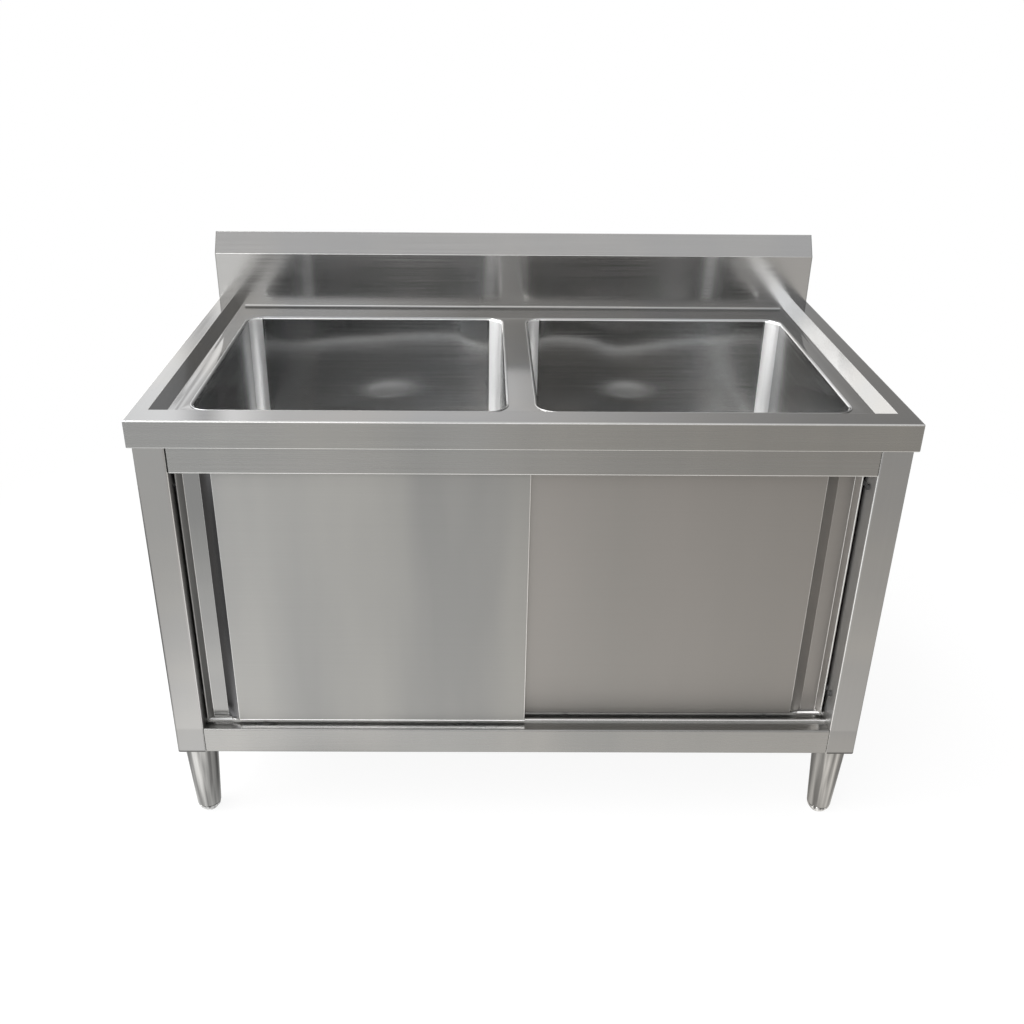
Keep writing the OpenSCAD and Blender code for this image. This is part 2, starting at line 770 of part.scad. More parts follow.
// The door's face, folded back at both edges. The finger pull is pressed into it and has a sill.
module door_skin(sx) {
    h = door_sheet / 2;
    pull = [[pull_lip, h], [pull_lip + pull_wall, pull_depth - h],
        [pull_w - pull_slope, pull_depth - h], [pull_w, h]];
    color("darkgray") place_door(sx) translate([0, 0, door_z]) {
        linear_extrude(door_h)
            folded([[h, door_t], [h, h], each pull, [door_w - h, h], [door_w - h, door_t]], door_sheet);
        linear_extrude(door_sheet) polygon(pull);
    }
}

// The door's back sheet, with its upper and lower edges folded forward.
module door_inner(sx) {
    low = door_sheet + seam;
    slot_play = 4;
    slot = [2 * roller_r + slot_play, roller_w + slot_play, 4 * door_sheet];
    color("silver") place_door(sx) difference() {
        union() {
            block([low, door_t - door_sheet, door_z], [door_w - low, door_t, door_top_z]);
            for (z = [door_z, door_top_z - door_sheet])
                block([low, low, z], [door_w - low, door_t - door_sheet / 2, z + door_sheet]);
        }
        translate([0, 0, door_z - past]) linear_extrude(door_h + 2 * past)
            pull_room(door_sheet / 2 + seam);
        for (x = roller_places) translate([x, door_t / 2, door_z]) cube(slot, center = true);
    }
}

// A channel inside the door that holds the two roller axles.
module door_carrier(sx) {
    low = door_z + door_sheet + seam;
    front = (door_t + sheet_t) / 2 - carrier_half;
    rear = (door_t - sheet_t) / 2 + carrier_half;
    start = pull_w + 4;
    end = door_w - 6;
    color("gainsboro") place_door(sx) difference() {
        translate([start, 0, 0]) rotate([90, 0, 90]) linear_extrude(end - start)
            folded([[front, low], [front, carrier_z], [rear, carrier_z], [rear, low]], sheet_t);
        for (x = roller_places) translate([x, -past, roller_z]) rotate([-90, 0, 0])
            cylinder(r = axle_r + fix_fit, h = door_t + 2 * past);
    }
}

module door_axles(sx) {
    color("gainsboro") place_door(sx) for (x = roller_places)
        translate([x, door_t / 2 - carrier_half, roller_z]) rotate([-90, 0, 0])
            cylinder(r = axle_r, h = 2 * carrier_half);
}

// A grooved wheel that rides astride a ridge of the track.
module roller(sx, x) {
    color("dimgray") place_door(sx) translate([x, door_t / 2, roller_z]) rotate([90, 0, 0])
        difference() {
            ring(roller_r, axle_r + run_fit, -roller_w / 2, roller_w);
            rotate_extrude() translate([roller_r, 0]) circle(groove_r);
        }
}

// Blocks on the door's upper edge that run in the upper guide.
module door_top_guides(sx) {
    half = (track_pitch - sheet_t) / 2 - guide_play;
    color("dimgray") place_door(sx) for (x = roller_places)
        block([x - guide_block_w / 2, door_t / 2 - half, door_top_z],
            [x + guide_block_w / 2, door_t / 2 + half, door_top_z + guide_block_h]);
}

// ---- feet ----

// A plate inside each post's foot, bored for the stud.
module foot_plates() {
    side = post_w - 2 * behind_sheet;
    color("gainsboro") difference() {
        at_corners(post_x - post_w / 2, post_y - post_w / 2)
            translate([0, 0, leg_h + plate_t / 2]) cube([side, side, plate_t], center = true);
        at_corners(foot_x, foot_y) translate([0, 0, leg_h - past])
            cylinder(r = stud_r + seam / 2, h = plate_t + 2 * past);
    }
}

// A stud through each foot plate, with a hexagon nut on it.
module leg_bolts() {
    flats = 3 * stud_r;
    nut_h = 10;
    stud_end_z = leg_h + plate_t + nut_h + 5;
    color("gainsboro") at_corners(foot_x, foot_y) {
        translate([0, 0, leg_h - stud_depth]) cylinder(r = stud_r, h = stud_end_z - leg_h + stud_depth);
        translate([0, 0, leg_h + plate_t]) cylinder(d = flats / cos(30), h = nut_h, $fn = 6);
    }
}

// A tapered sleeve: hollow, guiding the foot's shank below and its screw in a boss above.
module leg(sx, sy) {
    taper = (leg_top_r - leg_end_r) / (leg_h - foot_h);
    cap_z = leg_h - 8;
    boss_r = screw_r + 5;
    boss_z = leg_cavity_z + 10;
    stud_bore_z = leg_h - stud_depth - 2;
    color("silver") translate([sx * foot_x, sy * foot_y, 0]) rotate_extrude() polygon([
        [shank_r + run_fit, foot_h], [leg_end_r, foot_h], [leg_top_r, leg_h - 1],
        [leg_top_r - 1, leg_h], [stud_r + fix_fit, leg_h], [stud_r + fix_fit, stud_bore_z],
        [screw_r + run_fit, stud_bore_z], [screw_r + run_fit, boss_z], [boss_r, boss_z],
        [boss_r, cap_z], [leg_top_r - (leg_h - cap_z) * taper - leg_wall, cap_z],
        [leg_end_r + (leg_cavity_z - foot_h) * taper - leg_wall, leg_cavity_z],
        [shank_r + run_fit, leg_cavity_z]]);
}

// A bullet-ended foot with a screw that runs in its leg sleeve.
module levelling_foot(sx, sy) {
    shoulder = foot_h - foot_gap;
    color("gainsboro") translate([sx * foot_x, sy * foot_y, 0]) rotate_extrude() polygon([
        [0, 0], [foot_end_r, 0], [foot_end_r + 1.5, 1.5], [leg_end_r - 1.5, shoulder - 4],
        [leg_end_r - 0.5, shoulder - 2], [leg_end_r - 0.5, shoulder], [shank_r, shoulder],
        [shank_r, shank_top_z], [screw_r, shank_top_z], [screw_r, screw_top_z],
        [0, screw_top_z]]);
}

worktop();
splashback();
splash_end_caps();
bowl(-1);  // left_bowl
bowl(1);  // right_bowl
drain(-1);  // left_drain
drain(1);  // right_drain
basket(-1);  // left_basket
basket(1);  // right_basket
drain_gaskets();
drain_locknuts();
waste_manifold();
p_trap();
waste_outlet();
slip_nuts();
post(-1, -1);  // front_left_post
post(1, -1);  // front_right_post
post(-1, 1);  // rear_left_post
post(1, 1);  // rear_right_post
top_rail();
rear_top_rail();
side_top_rails();
divider_stiffener();
bottom_shelf();
shelf_stiffener();
side_panel(-1);  // left_side_panel
side_panel(1);  // right_side_panel
back_panel();
door_track();
upper_guide();
door_buffers();
door_skin(-1);  // left_door_skin
door_inner(-1);  // left_door_inner
door_carrier(-1);  // left_door_carrier
door_axles(-1);  // left_door_axles
roller(-1, roller_places[0]);  // left_door_outer_roller
roller(-1, roller_places[1]);  // left_door_inner_roller
door_top_guides(-1);  // left_door_top_guides
door_skin(1);  // right_door_skin
door_inner(1);  // right_door_inner
door_carrier(1);  // right_door_carrier
door_axles(1);  // right_door_axles
roller(1, roller_places[0]);  // right_door_outer_roller
roller(1, roller_places[1]);  // right_door_inner_roller
door_top_guides(1);  // right_door_top_guides
foot_plates();
leg_bolts();
leg(-1, -1);  // front_left_leg
leg(1, -1);  // front_right_leg
leg(-1, 1);  // rear_left_leg
leg(1, 1);  // rear_right_leg
levelling_foot(-1, -1);  // front_left_foot
levelling_foot(1, -1);  // front_right_foot
levelling_foot(-1, 1);  // rear_left_foot
levelling_foot(1, 1);  // rear_right_foot
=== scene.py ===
"""A double-bowl sink cabinet in brushed stainless sheet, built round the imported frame."""
import json
import math

import bmesh
import bpy
from mathutils import Matrix, Vector


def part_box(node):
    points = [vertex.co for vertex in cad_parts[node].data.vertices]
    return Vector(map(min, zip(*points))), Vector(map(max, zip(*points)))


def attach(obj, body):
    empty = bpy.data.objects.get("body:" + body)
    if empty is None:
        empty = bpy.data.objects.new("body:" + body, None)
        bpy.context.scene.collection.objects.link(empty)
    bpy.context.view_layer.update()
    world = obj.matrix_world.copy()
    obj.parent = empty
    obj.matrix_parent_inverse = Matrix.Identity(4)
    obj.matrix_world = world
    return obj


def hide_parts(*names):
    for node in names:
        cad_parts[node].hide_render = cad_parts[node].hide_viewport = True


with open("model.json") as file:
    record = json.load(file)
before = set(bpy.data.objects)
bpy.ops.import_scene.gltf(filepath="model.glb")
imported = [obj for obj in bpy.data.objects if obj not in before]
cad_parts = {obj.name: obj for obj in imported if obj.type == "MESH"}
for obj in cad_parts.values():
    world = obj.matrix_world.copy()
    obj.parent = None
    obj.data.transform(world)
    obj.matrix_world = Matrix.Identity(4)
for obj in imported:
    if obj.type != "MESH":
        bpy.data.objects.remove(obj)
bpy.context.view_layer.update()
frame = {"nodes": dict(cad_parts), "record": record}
MM = 0.001

# ---- sizes in metres, taken from the frame or named here ----

TOP_T = 1.5 * MM        # worktop and splashback sheet
SHEET_T = 1.2 * MM      # frame, shelf and bowl sheet
DOOR_T = 1.0 * MM       # door sheet
BEND = 1.8 * MM         # bend radius at the middle of a folded sheet
FOLD_R = 1.4 * MM       # folds between rim, sloping band and deck
HEM_H = 8 * MM
RIM_SIDE = 27 * MM
RIM_FRONT = 45 * MM
SLOPE_W = 16 * MM
DECK_MARGIN = 24 * MM   # from the rim's inner edge to where the flat deck starts
LIP_R = 4.5 * MM        # rolled lip round a bowl
BOWL_R = 30 * MM        # upright corners of a bowl
FLOOR_R = 20 * MM       # bend between a bowl's walls and its floor
FLOOR_RISE = 4 * MM     # fall of a bowl's floor towards its drain
DRAIN_SEAT_R = 58 * MM
DRAIN_SEAT_H = 3 * MM
DRAIN_HOLE_R = 44.5 * MM
DECK_FILLET = 5 * MM    # bend between deck and splashback
SPLASH_FOLD_H = 108 * MM
CORNER_R = 3 * MM       # upright corners of the apron
POST_R = 4.5 * MM       # upright corners of the posts
RAIL_LIP = 10 * MM
RAIL_GAP = 1.5 * MM     # gap at the top rail's left end
SIDE_FOLD = 13 * MM
APRON_BEND = 0.8 * CORNER_R
SPLASH_BEND = 0.8 * MM
SHELF_BEND = 2.9 * MM
FOLD_STEP = 0.95 * MM   # a bend's faces are narrower than this, and the sheet's edges wider
BOWL_FLANGE = 12 * MM   # flange of a bowl's node, which the visible bowl goes without
FALL_SHARES = (0.4, 0.8)    # rings between a bowl's walls and its drain seat
STRIP_GAP = 5 * MM      # from the left finger pull to the painted light strip on the shelf

DOOR_BEND = 1.3 * MM
DOOR_FACE = 1.6 * DOOR_T    # the skin's outline is its face up to this depth
DOOR_ROWS = (0, 0.3, 0.9, 1.8, 3.0)     # mm from the door's upper and lower edges
EDGE_ROLL = 3 * MM      # the face turns in at those edges
ROLL_SHARE = 0.6        # how deep it turns in, against a round edge
EDGE_LINE = 0.9 * MM    # where the painted highlight line on the left door's lower edge starts
PULL_LIP = 2 * MM       # widths of the finger pull's parts, from the door's outer edge
PULL_WALL = 7.5 * MM
PULL_FLOOR = 26 * MM
PULL_SLOPE = 21 * MM
PULL_DEPTH = 12 * MM
FLOOR_START = PULL_LIP + PULL_WALL
FLOOR_END = FLOOR_START + PULL_FLOOR
PULL_W = FLOOR_END + PULL_SLOPE
HIGHLIGHT_START = PULL_LIP + 2 * MM      # folds get the painted highlight from here on
SILL_DEPTH = 6.5 * MM
SILL_END = FLOOR_END + 5 * MM

FOOT = [(13.6, 0), (14.4, 0.5), (18.6, 7.4), (19.7, 8.4), (20.2, 12.4), (20.2, 12.9),
        (18.4, 13.4), (18.4, 15), (19.2, 15)]      # radius and height, mm
FOOT_SIDES = 40
STUD_R = 19.2 * MM

LEAST_STRIP = 1e-5      # m2, the least area of a strip along a post's corner
FACING = 0.9            # a face looks along an axis if its normal's part on it is above this
TURNED = 0.5            # the least X and Y parts of a normal on a post's corner with the painted highlight
CORNER_TURN = 0.22      # the least product of those parts on a bowl's upright corners, which get a painted highlight
CORNERS = ("front_left", "front_right", "rear_left", "rear_right")
SIDES = (("left", -1), ("right", 1))

top_lo, top_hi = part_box("worktop")
splash_lo, splash_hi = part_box("splashback")
SIDE_X = top_hi.x
FRONT_Y = top_lo.y
BACK_Y = top_hi.y
APRON_Z = top_lo.z
RIM_Z = top_hi.z
SPLASH_Y = splash_lo.y
DECK_Z = splash_lo.z
SPLASH_TOP = splash_hi.z
POST_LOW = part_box("front_left_post")[0].z
SHELF_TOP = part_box("bottom_shelf")[1].z


# ---- nodes ----

MIX_A, MIX_B, MIXED = 6, 7, 2   # a Mix node's colour inputs and its colour output
TINT_SPAN = (0.35, 0.65)        # the part of a noise over which one tint turns into another
GRAIN_TINT = 0.02               # how much brush marks change a sheet's colour
GRAIN_ROUGH = 0.03              # and its roughness
GRAIN_BUMP = {"Strength": 0.06, "Distance": 0.00003}
SWELL = (4.0, 4.0, 2.5)         # slow waves of a sheet, in cells per metre
PORE_ROUGH = 0.06
PORE_BUMP = {"Strength": 0.15, "Distance": 0.0002}


def new_material(name):
    """An empty material with a Principled shader: (material, node tree, shader)."""
    material = bpy.data.materials.new(name)
    material.use_nodes = True
    tree = material.node_tree
    return material, tree, tree.nodes["Principled BSDF"]


def add(tree, kind, **values):
    """A node with its settings and its unlinked inputs set."""
    node = tree.nodes.new(kind)
    for key, value in values.items():
        if key in node.inputs:
            node.inputs[key].default_value = value
        else:
            setattr(node, key, value)
    return node


def link(tree, source, output, target, socket):
    tree.links.new(source.outputs[output], target.inputs[socket])


def noise(tree, coords, scale, detail=2.0):
    """Noise with its own stretch along X, Y and Z, in cells per metre."""
    mapping = add(tree, "ShaderNodeMapping")
    mapping.inputs["Scale"].default_value = scale
    link(tree, coords, "Object", mapping, "Vector")
    texture = add(tree, "ShaderNodeTexNoise", Scale=1.0, Detail=detail)
    link(tree, mapping, "Vector", texture, "Vector")
    return texture


def ramp(tree, source, output, low, high, start=0.3, end=0.7):
    """Maps a factor to a range of numbers."""
    node = add(tree, "ShaderNodeMapRange")
    node.inputs["From Min"].default_value = start
    node.inputs["From Max"].default_value = end
    node.inputs["To Min"].default_value = low
    node.inputs["To Max"].default_value = high
    link(tree, source, output, node, "Value")
    return node


def tint(tree, source, low, high):
    """Mixes two colours by a texture's factor."""
    node = add(tree, "ShaderNodeValToRGB")
    for element, position, colour in zip(node.color_ramp.elements, TINT_SPAN, (low, high)):
        element.position = position
        element.color = (*colour, 1)
    link(tree, source, "Fac", node, "Fac")
    return node


def blend(tree, factor, output, first, second):
    """A mix of two colours, each given as (node, output) or as a plain colour."""
    node = add(tree, "ShaderNodeMix", data_type="RGBA")
    link(tree, factor, output, node, "Factor")
    for socket, value in ((MIX_A, first), (MIX_B, second)):
        if isinstance(value[0], float):
            node.inputs[socket].default_value = (*value, 1)
        else:
            tree.links.new(value[0].outputs[value[1]], node.inputs[socket])
    return node


GRAIN = {"x": (3, 700, 700), "y": (700, 3, 700), "z": (700, 700, 3), "round": (3, 3, 600)}
ACROSS = {"x": (0, 1, 1), "y": (1, 0, 1), "z": (1, 1, 0), "round": (1, 1, 0)}
BANDS = {"x": (5, 5, 0.7), "y": (5, 5, 0.7), "z": (1.5, 1.5, 6), "round": (4, 4, 1)}


def scaled(tree, colour, source, low, high):
    """A colour times a range of numbers that a texture picks from."""
    level = ramp(tree, source, "Fac", low, high)
    node = add(tree, "ShaderNodeVectorMath", operation="SCALE")
    link(tree, colour, "Color", node, "Vector")
    link(tree, level, "Result", node, "Scale")
    return node


def brushed(name, cool, warm, roughness, grain="x", anisotropy=0.6, wave=0.002):
    """Stainless sheet brushed along one axis, with slow changes of tint and a slight wave."""
    material, tree, shader = new_material(name)
    coords = add(tree, "ShaderNodeTexCoord")
    bands = noise(tree, coords, BANDS[grain], 3.0)
    marks = noise(tree, coords, GRAIN[grain], 3.0)
    colour = scaled(tree, tint(tree, bands, cool, warm), marks, 1 - GRAIN_TINT, 1 + GRAIN_TINT)
    link(tree, colour, "Vector", shader, "Base Color")
    shader.inputs["Metallic"].default_value = 1.0
    shader.inputs["Anisotropic"].default_value = anisotropy
    rough = ramp(tree, marks, "Fac", roughness - GRAIN_ROUGH, roughness + GRAIN_ROUGH)
    link(tree, rough, "Result", shader, "Roughness")
    tangent = add(tree, "ShaderNodeCombineXYZ", **dict(zip("XYZ", ACROSS[grain])))
    link(tree, tangent, "Vector", shader, "Tangent")
    fine = add(tree, "ShaderNodeBump", **GRAIN_BUMP)
    link(tree, marks, "Fac", fine, "Height")
    slow = add(tree, "ShaderNodeBump", Strength=1.0, Distance=wave)
    link(tree, noise(tree, coords, SWELL, 1.0), "Fac", slow, "Height")
    link(tree, fine, "Normal", slow, "Normal")
    link(tree, slow, "Normal", shader, "Normal")
    return material


def product(tree, first, *others):
    """Numbers, each given as (node, output), multiplied together."""
    for other in others:
        node = add(tree, "ShaderNodeMath", operation="MULTIPLY")
        link(tree, first[0], first[1], node, 0)
        link(tree, other[0], other[1], node, 1)
        first = (node, "Value")
    return first


def object_xyz(tree):
    """The place on an object, split into X, Y and Z."""
    coords = add(tree, "ShaderNodeTexCoord")
    split = add(tree, "ShaderNodeSeparateXYZ")
    link(tree, coords, "Object", split, "Vector")
    return split


def scale_colour(material, level):
    """Multiplies a metal's colour by a number, given as (node, output)."""
    tree = material.node_tree
    colour = tree.nodes["Principled BSDF"].inputs["Base Color"]
    node = add(tree, "ShaderNodeVectorMath", operation="SCALE")
    tree.links.new(colour.links[0].from_socket, node.inputs[0])
    link(tree, level[0], level[1], node, "Scale")
    tree.links.new(node.outputs["Vector"], colour)


def shade_by_height(material, stops):
    """Scales a metal's colour by levels given at heights, which paints shade into it."""
    tree = material.node_tree
    place = object_xyz(tree)
    steps = [(ramp(tree, place, "Z", a / b, 1.0, z0, z1), "Result")
             for (z0, a), (z1, b) in zip(stops, stops[1:])]
    scale_colour(material, product(tree, *steps))


def lean_by_place(material, stops, low, high, most):
    """Leans a sheet's upper part by as much as is given at each x, as a slack sheet does."""
    tree = material.node_tree
    normal = tree.nodes["Principled BSDF"].inputs["Normal"]
    split = object_xyz(tree)
    left, right = stops[0][0], stops[-1][0]
    place = ramp(tree, split, "X", 0.0, 1.0, left, right)
    curve = add(tree, "ShaderNodeFloatCurve")
    points = curve.mapping.curves[0].points
    while len(points) < len(stops):
        points.new(0.5, 0.5)
    for point, (x, lean) in zip(points, stops):
        point.location = ((x - left) / (right - left), lean)
    curve.mapping.update()
    link(tree, place, "Result", curve, "Value")
    above = ramp(tree, split, "Z", 0.0, 1.0, low, high)
    above.interpolation_type = "SMOOTHSTEP"
    swell = product(tree, (curve, "Value"), (above, "Result"))
    bump = add(tree, "ShaderNodeBump", Strength=1.0, Distance=most)
    link(tree, swell[0], swell[1], bump, "Height")
    tree.links.new(normal.links[0].from_socket, bump.inputs["Normal"])
    tree.links.new(bump.outputs["Normal"], normal)


def paint_reflection_streaks(material, scale, low, high):
    """Scales a metal's colour along narrow lines: painted reflection streaks, like those seen on
    polished tube.
    """
    tree = material.node_tree
    lines = noise(tree, add(tree, "ShaderNodeTexCoord"), scale)
    scale_colour(material, (ramp(tree, lines, "Fac", low, high, *TINT_SPAN), "Result"))


def plastic(name, low, high, roughness):
    """Moulded plastic or rubber with a faint mottle."""
    material, tree, shader = new_material(name)
    coords = add(tree, "ShaderNodeTexCoord")
    mottle = noise(tree, coords, (60, 60, 60), 3.0)
    link(tree, tint(tree, mottle, low, high), "Color", shader, "Base Color")
    pores = noise(tree, coords, (900, 900, 900))
    rough = ramp(tree, pores, "Fac", roughness - PORE_ROUGH, roughness + PORE_ROUGH)
    link(tree, rough, "Result", shader, "Roughness")
    bump = add(tree, "ShaderNodeBump", **PORE_BUMP)
    link(tree, pores, "Fac", bump, "Height")
    link(tree, bump, "Normal", shader, "Normal")
    return material


# name, cool and warm tint, roughness, direction of the brush, anisotropy, depth of the slow waves
TOP_X = brushed("satin_top_x", (0.325, 0.33, 0.335), (0.35, 0.345, 0.335), 0.11, "x", 0.3)
TOP_Y = brushed("satin_top_y", (0.325, 0.33, 0.335), (0.35, 0.345, 0.335), 0.11, "y", 0.3)
APRON = brushed("satin_apron", (0.28, 0.28, 0.275), (0.32, 0.315, 0.30), 0.26, "x", 0.6)
SPLASH = brushed("satin_splash", (0.46, 0.46, 0.46), (0.49, 0.485, 0.475), 0.14, "x", 0.9)
BOWL = brushed("satin_bowl", (0.44, 0.45, 0.46), (0.48, 0.475, 0.465), 0.15, "round", 0.93, 0.006)
DENTS = [(-0.53, 0.35), (-0.45, 0.6), (-0.36, 0.85), (-0.16, 0.9), (-0.11, 0.65),
         (-0.03, 0.05), (0.045, 0.25), (0.095, 0.74), (0.15, 0.65), (0.235, 0.32),
         (0.33, 0.72), (0.415, 0.95), (0.51, 0.3)]      # x, and the bowls' lean there
lean_by_place(BOWL, DENTS, low=0.62, high=0.78, most=3.5 * MM)
FRAME_X = brushed("satin_frame_x", (0.275, 0.275, 0.27), (0.315, 0.31, 0.30), 0.28, "x", 0.6)
FRAME_Y = brushed("satin_frame_y", (0.32, 0.32, 0.315), (0.35, 0.345, 0.335), 0.36, "y", 0.8)
FRAME_Z = brushed("satin_frame_z", (0.33, 0.33, 0.33), (0.36, 0.355, 0.345), 0.36, "z", 0.8)
DOOR_L = brushed("satin_door_left", (0.265, 0.265, 0.26), (0.345, 0.34, 0.325), 0.40, "x", 0.85)
DOOR_R = brushed("satin_door_right", (0.31, 0.30, 0.285), (0.33, 0.315, 0.30), 0.42, "x", 0.85)
INNER = brushed("inner_sheet", (0.28, 0.28, 0.28), (0.31, 0.31, 0.30), 0.38, "x")
PLATED = brushed("door_fittings", (0.40, 0.40, 0.40), (0.45, 0.45, 0.44), 0.3, "x", 0.2)
POLISHED = brushed("polished_steel", (0.36, 0.36, 0.36), (0.42, 0.42, 0.415), 0.08, "z", 0.0, 0.0)
DRAIN = brushed("drain_metal", (0.78, 0.78, 0.78), (0.84, 0.84, 0.835), 0.4, "x", 0.0, 0.0)
SLEEVE = brushed("satin_sleeve", (0.26, 0.26, 0.255), (0.32, 0.315, 0.305), 0.1, "z", 0.0, 0.0)
# Painted reflection streaks along the legs.
paint_reflection_streaks(SLEEVE, (85, 85, 1.0), low=0.6, high=1.7)
FOOT_METAL = brushed("turned_foot", (0.42, 0.42, 0.42), (0.5, 0.5, 0.495), 0.12, "z", 0.0, 0.0)
# Painted reflection streaks on the feet.
paint_reflection_streaks(FOOT_METAL, (160, 160, 1.0), low=0.5, high=2.2)
# A brighter metal that paints highlight lines on bends and on the door track's ridge, and painted
# light on the shelf strip.
FOLD = brushed("fold_highlight", (0.58, 0.58, 0.575), (0.66, 0.655, 0.645), 0.25, "x", 0.0, 0.0)
# Near-white metal for the bowls' upright corners: a painted highlight.
CORNER_HIGHLIGHT = brushed("bowl_corner_highlight", (0.85, 0.85, 0.85), (0.9, 0.9, 0.9), 0.45, "z", 0.0, 0.0)
# Near-white metal for the finger pulls' sills and the left door's lower edge: a painted highlight.
SILL_HIGHLIGHT = brushed("pull_sill", (0.92, 0.92, 0.92), (0.96, 0.96, 0.96), 0.85, "x", 0.0, 0.0)
# Brighter metal for the bend round the bowls' floors: a painted highlight.
BOWL_FOLD_HIGHLIGHT = brushed("bowl_fold_highlight", (0.66, 0.66, 0.66), (0.72, 0.72, 0.715), 0.15, "round", 0.0)
# Darker metals for the left door's finger pull only: painted shade in the recess.
PULL_SHADE = brushed("pull_painted_shade", (0.22, 0.22, 0.22), (0.25, 0.25, 0.245), 0.15, "z", 0.3)
SLOPE_SHADE = brushed("pull_slope", (0.14, 0.14, 0.145), (0.16, 0.16, 0.165), 0.2, "z", 0.3)
# Painted shade: the posts are dark at their lower ends and a little darker below the shelf.
shade_by_height(FRAME_Z, [(POST_LOW + 2 * MM, 0.3), (POST_LOW + 4 * MM, 0.88),
                          (SHELF_TOP - 2 * MM, 0.88), (SHELF_TOP + 2 * MM, 1.0)])
WHITE = plastic("white_plastic", (0.78, 0.78, 0.75), (0.84, 0.84, 0.82), 0.4)
GREY = plastic("grey_plastic", (0.42, 0.42, 0.42), (0.5, 0.5, 0.5), 0.45)
NYLON = plastic("nylon", (0.09, 0.09, 0.09), (0.12, 0.12, 0.12), 0.42)
RUBBER = plastic("black_rubber", (0.02, 0.02, 0.02), (0.035, 0.035, 0.035), 0.7)

SLOT_MATERIALS = {
    "satin_top": TOP_X, "satin_bowl": BOWL, "satin_frame": FRAME_X, "inner_sheet": INNER,
    "satin_door": DOOR_L, "door_fittings": PLATED, "polished_steel": POLISHED,
    "white_plastic": WHITE, "grey_plastic": GREY, "nylon": NYLON, "black_rubber": RUBBER,
}


def dress_cad_nodes():
    """Gives each carried-over CAD node the material of its slot."""
    for part in frame["record"]["subparts"]:
        mesh = frame["nodes"][part["node"]].data
        mesh.materials.clear()
        mesh.materials.append(SLOT_MATERIALS[part["material_slot"]])
    for corner in CORNERS:
        frame["nodes"][corner + "_leg"].data.materials[0] = SLEEVE
    for node in ("left_drain", "right_drain", "left_basket", "right_basket"):
        frame["nodes"][node].data.materials[0] = DRAIN
    # The door track takes the brighter fold metal: a painted highlight along its ridge.
    frame["nodes"]["door_track"].data.materials[0] = FOLD


# ---- mesh helpers ----

MERGE = 2e-6            # points nearer to each other than this are one
SLIVER = 1e-7           # edges shorter than this are taken out
REACH = 0.49            # the most of a line's segment that the bend at its end may take up
MITRE = 0.3             # the least cosine that a mitre is drawn out by


def piece(name, verts, faces, material, body, nodes, sharp=30, thickness=0.0):
    """A mesh object that rides on a body and stands for CAD nodes."""
    mesh = bpy.data.meshes.new(name)
    mesh.from_pydata([tuple(v) for v in verts], [], faces)
    work = bmesh.new()
    work.from_mesh(mesh)
    bmesh.ops.remove_doubles(work, verts=work.verts, dist=MERGE)
    if not thickness:
        bmesh.ops.recalc_face_normals(work, faces=work.faces)
    work.to_mesh(mesh)
    work.free()
    mesh.shade_smooth()
    mesh.set_sharp_from_angle(angle=math.radians(sharp))
    obj = bpy.data.objects.new(name, mesh)
    bpy.context.scene.collection.objects.link(obj)
    mesh.materials.append(material)
    if thickness:
        solid = obj.modifiers.new("thickness", "SOLIDIFY")
        solid.thickness = thickness
        solid.offset = -1
    even = obj.modifiers.new("even_normals", "WEIGHTED_NORMAL")
    even.weight = 100
    even.keep_sharp = True
    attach(obj, body)
    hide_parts(*nodes)
    return obj


def give(mesh, material):
    """Adds a material to a mesh, and returns its index there."""
    mesh.materials.append(material)
    return len(mesh.materials) - 1


def mark_folds(mesh, start=-math.inf):
    """Gives a folded sheet's bends, right of a place, a brighter metal that paints highlight lines
    on them, and returns its index.
    """
    highlight = give(mesh, FOLD)
    for polygon in mesh.polygons:
        corners = [mesh.vertices[i].co for i in polygon.vertices]
        sides = [(a - b).length for a, b in zip(corners, corners[1:] + corners[:1])]
        if len(sides) == 4 and min(sides) < FOLD_STEP and polygon.center.x > start:
            polygon.material_index = highlight
    return highlight


def arc_path(points, radius, steps=5):
    """A line through the points, with each inner corner rounded to the radius."""
    path = [Vector(points[0])]
    for before, corner, after in zip(points, points[1:], points[2:]):
        corner = Vector(corner)
        a = (Vector(before) - corner).normalized()
        b = (Vector(after) - corner).normalized()
        half = a.angle(b) / 2
        reach = min(radius / math.tan(half), (Vector(before) - corner).length * REACH,
                    (Vector(after) - corner).length * REACH)
        r = reach * math.tan(half)
        centre = corner + (a + b).normalized() * (r / math.sin(half))
        start = corner + a * reach - centre
        turn = start.angle_signed(corner + b * reach - centre)
        for i in range(steps + 1):
            spun = start.copy()
            spun.rotate(Matrix.Rotation(-turn * i / steps, 2))
            path.append(centre + spun)
    path.append(Vector(points[-1]))
    return path


def offset_path(path, distance):
    """The path moved sideways by a distance, mitred at its corners."""
    moved = []
    for i, point in enumerate(path):
        before = (point - path[i - 1]).normalized() if i else None
        after = (path[i + 1] - point).normalized() if i < len(path) - 1 else None
        before = before or after
        after = after or before
        side = Vector((-before.y - after.y, before.x + after.x)).normalized()
        square = Vector((-before.y, before.x))
        moved.append(point + side * (distance / max(side.dot(square), MITRE)))
    return moved


def section(points, thickness, radius, steps=5):
    """The closed outline of a folded sheet whose middle follows the points."""
    path = arc_path(points, radius, steps)
    return offset_path(path, thickness / 2) + offset_path(path, -thickness / 2)[::-1]


PLACE = {
    "x": lambda p, s: (s, p[0], p[1]),
    "y": lambda p, s: (p[0], s, p[1]),
    "z": lambda p, s: (p[0], p[1], s),
}


def prism(outline, axis, start, end):
    """Vertices and faces of an outline extruded along an axis."""
    count = len(outline)
    verts = [PLACE[axis](p, s) for s in (start, end) for p in outline]
    faces = [(i, (i + 1) % count, count + (i + 1) % count, count + i) for i in range(count)]
    faces += [tuple(range(count))[::-1], tuple(range(count, 2 * count))]
    return verts, faces


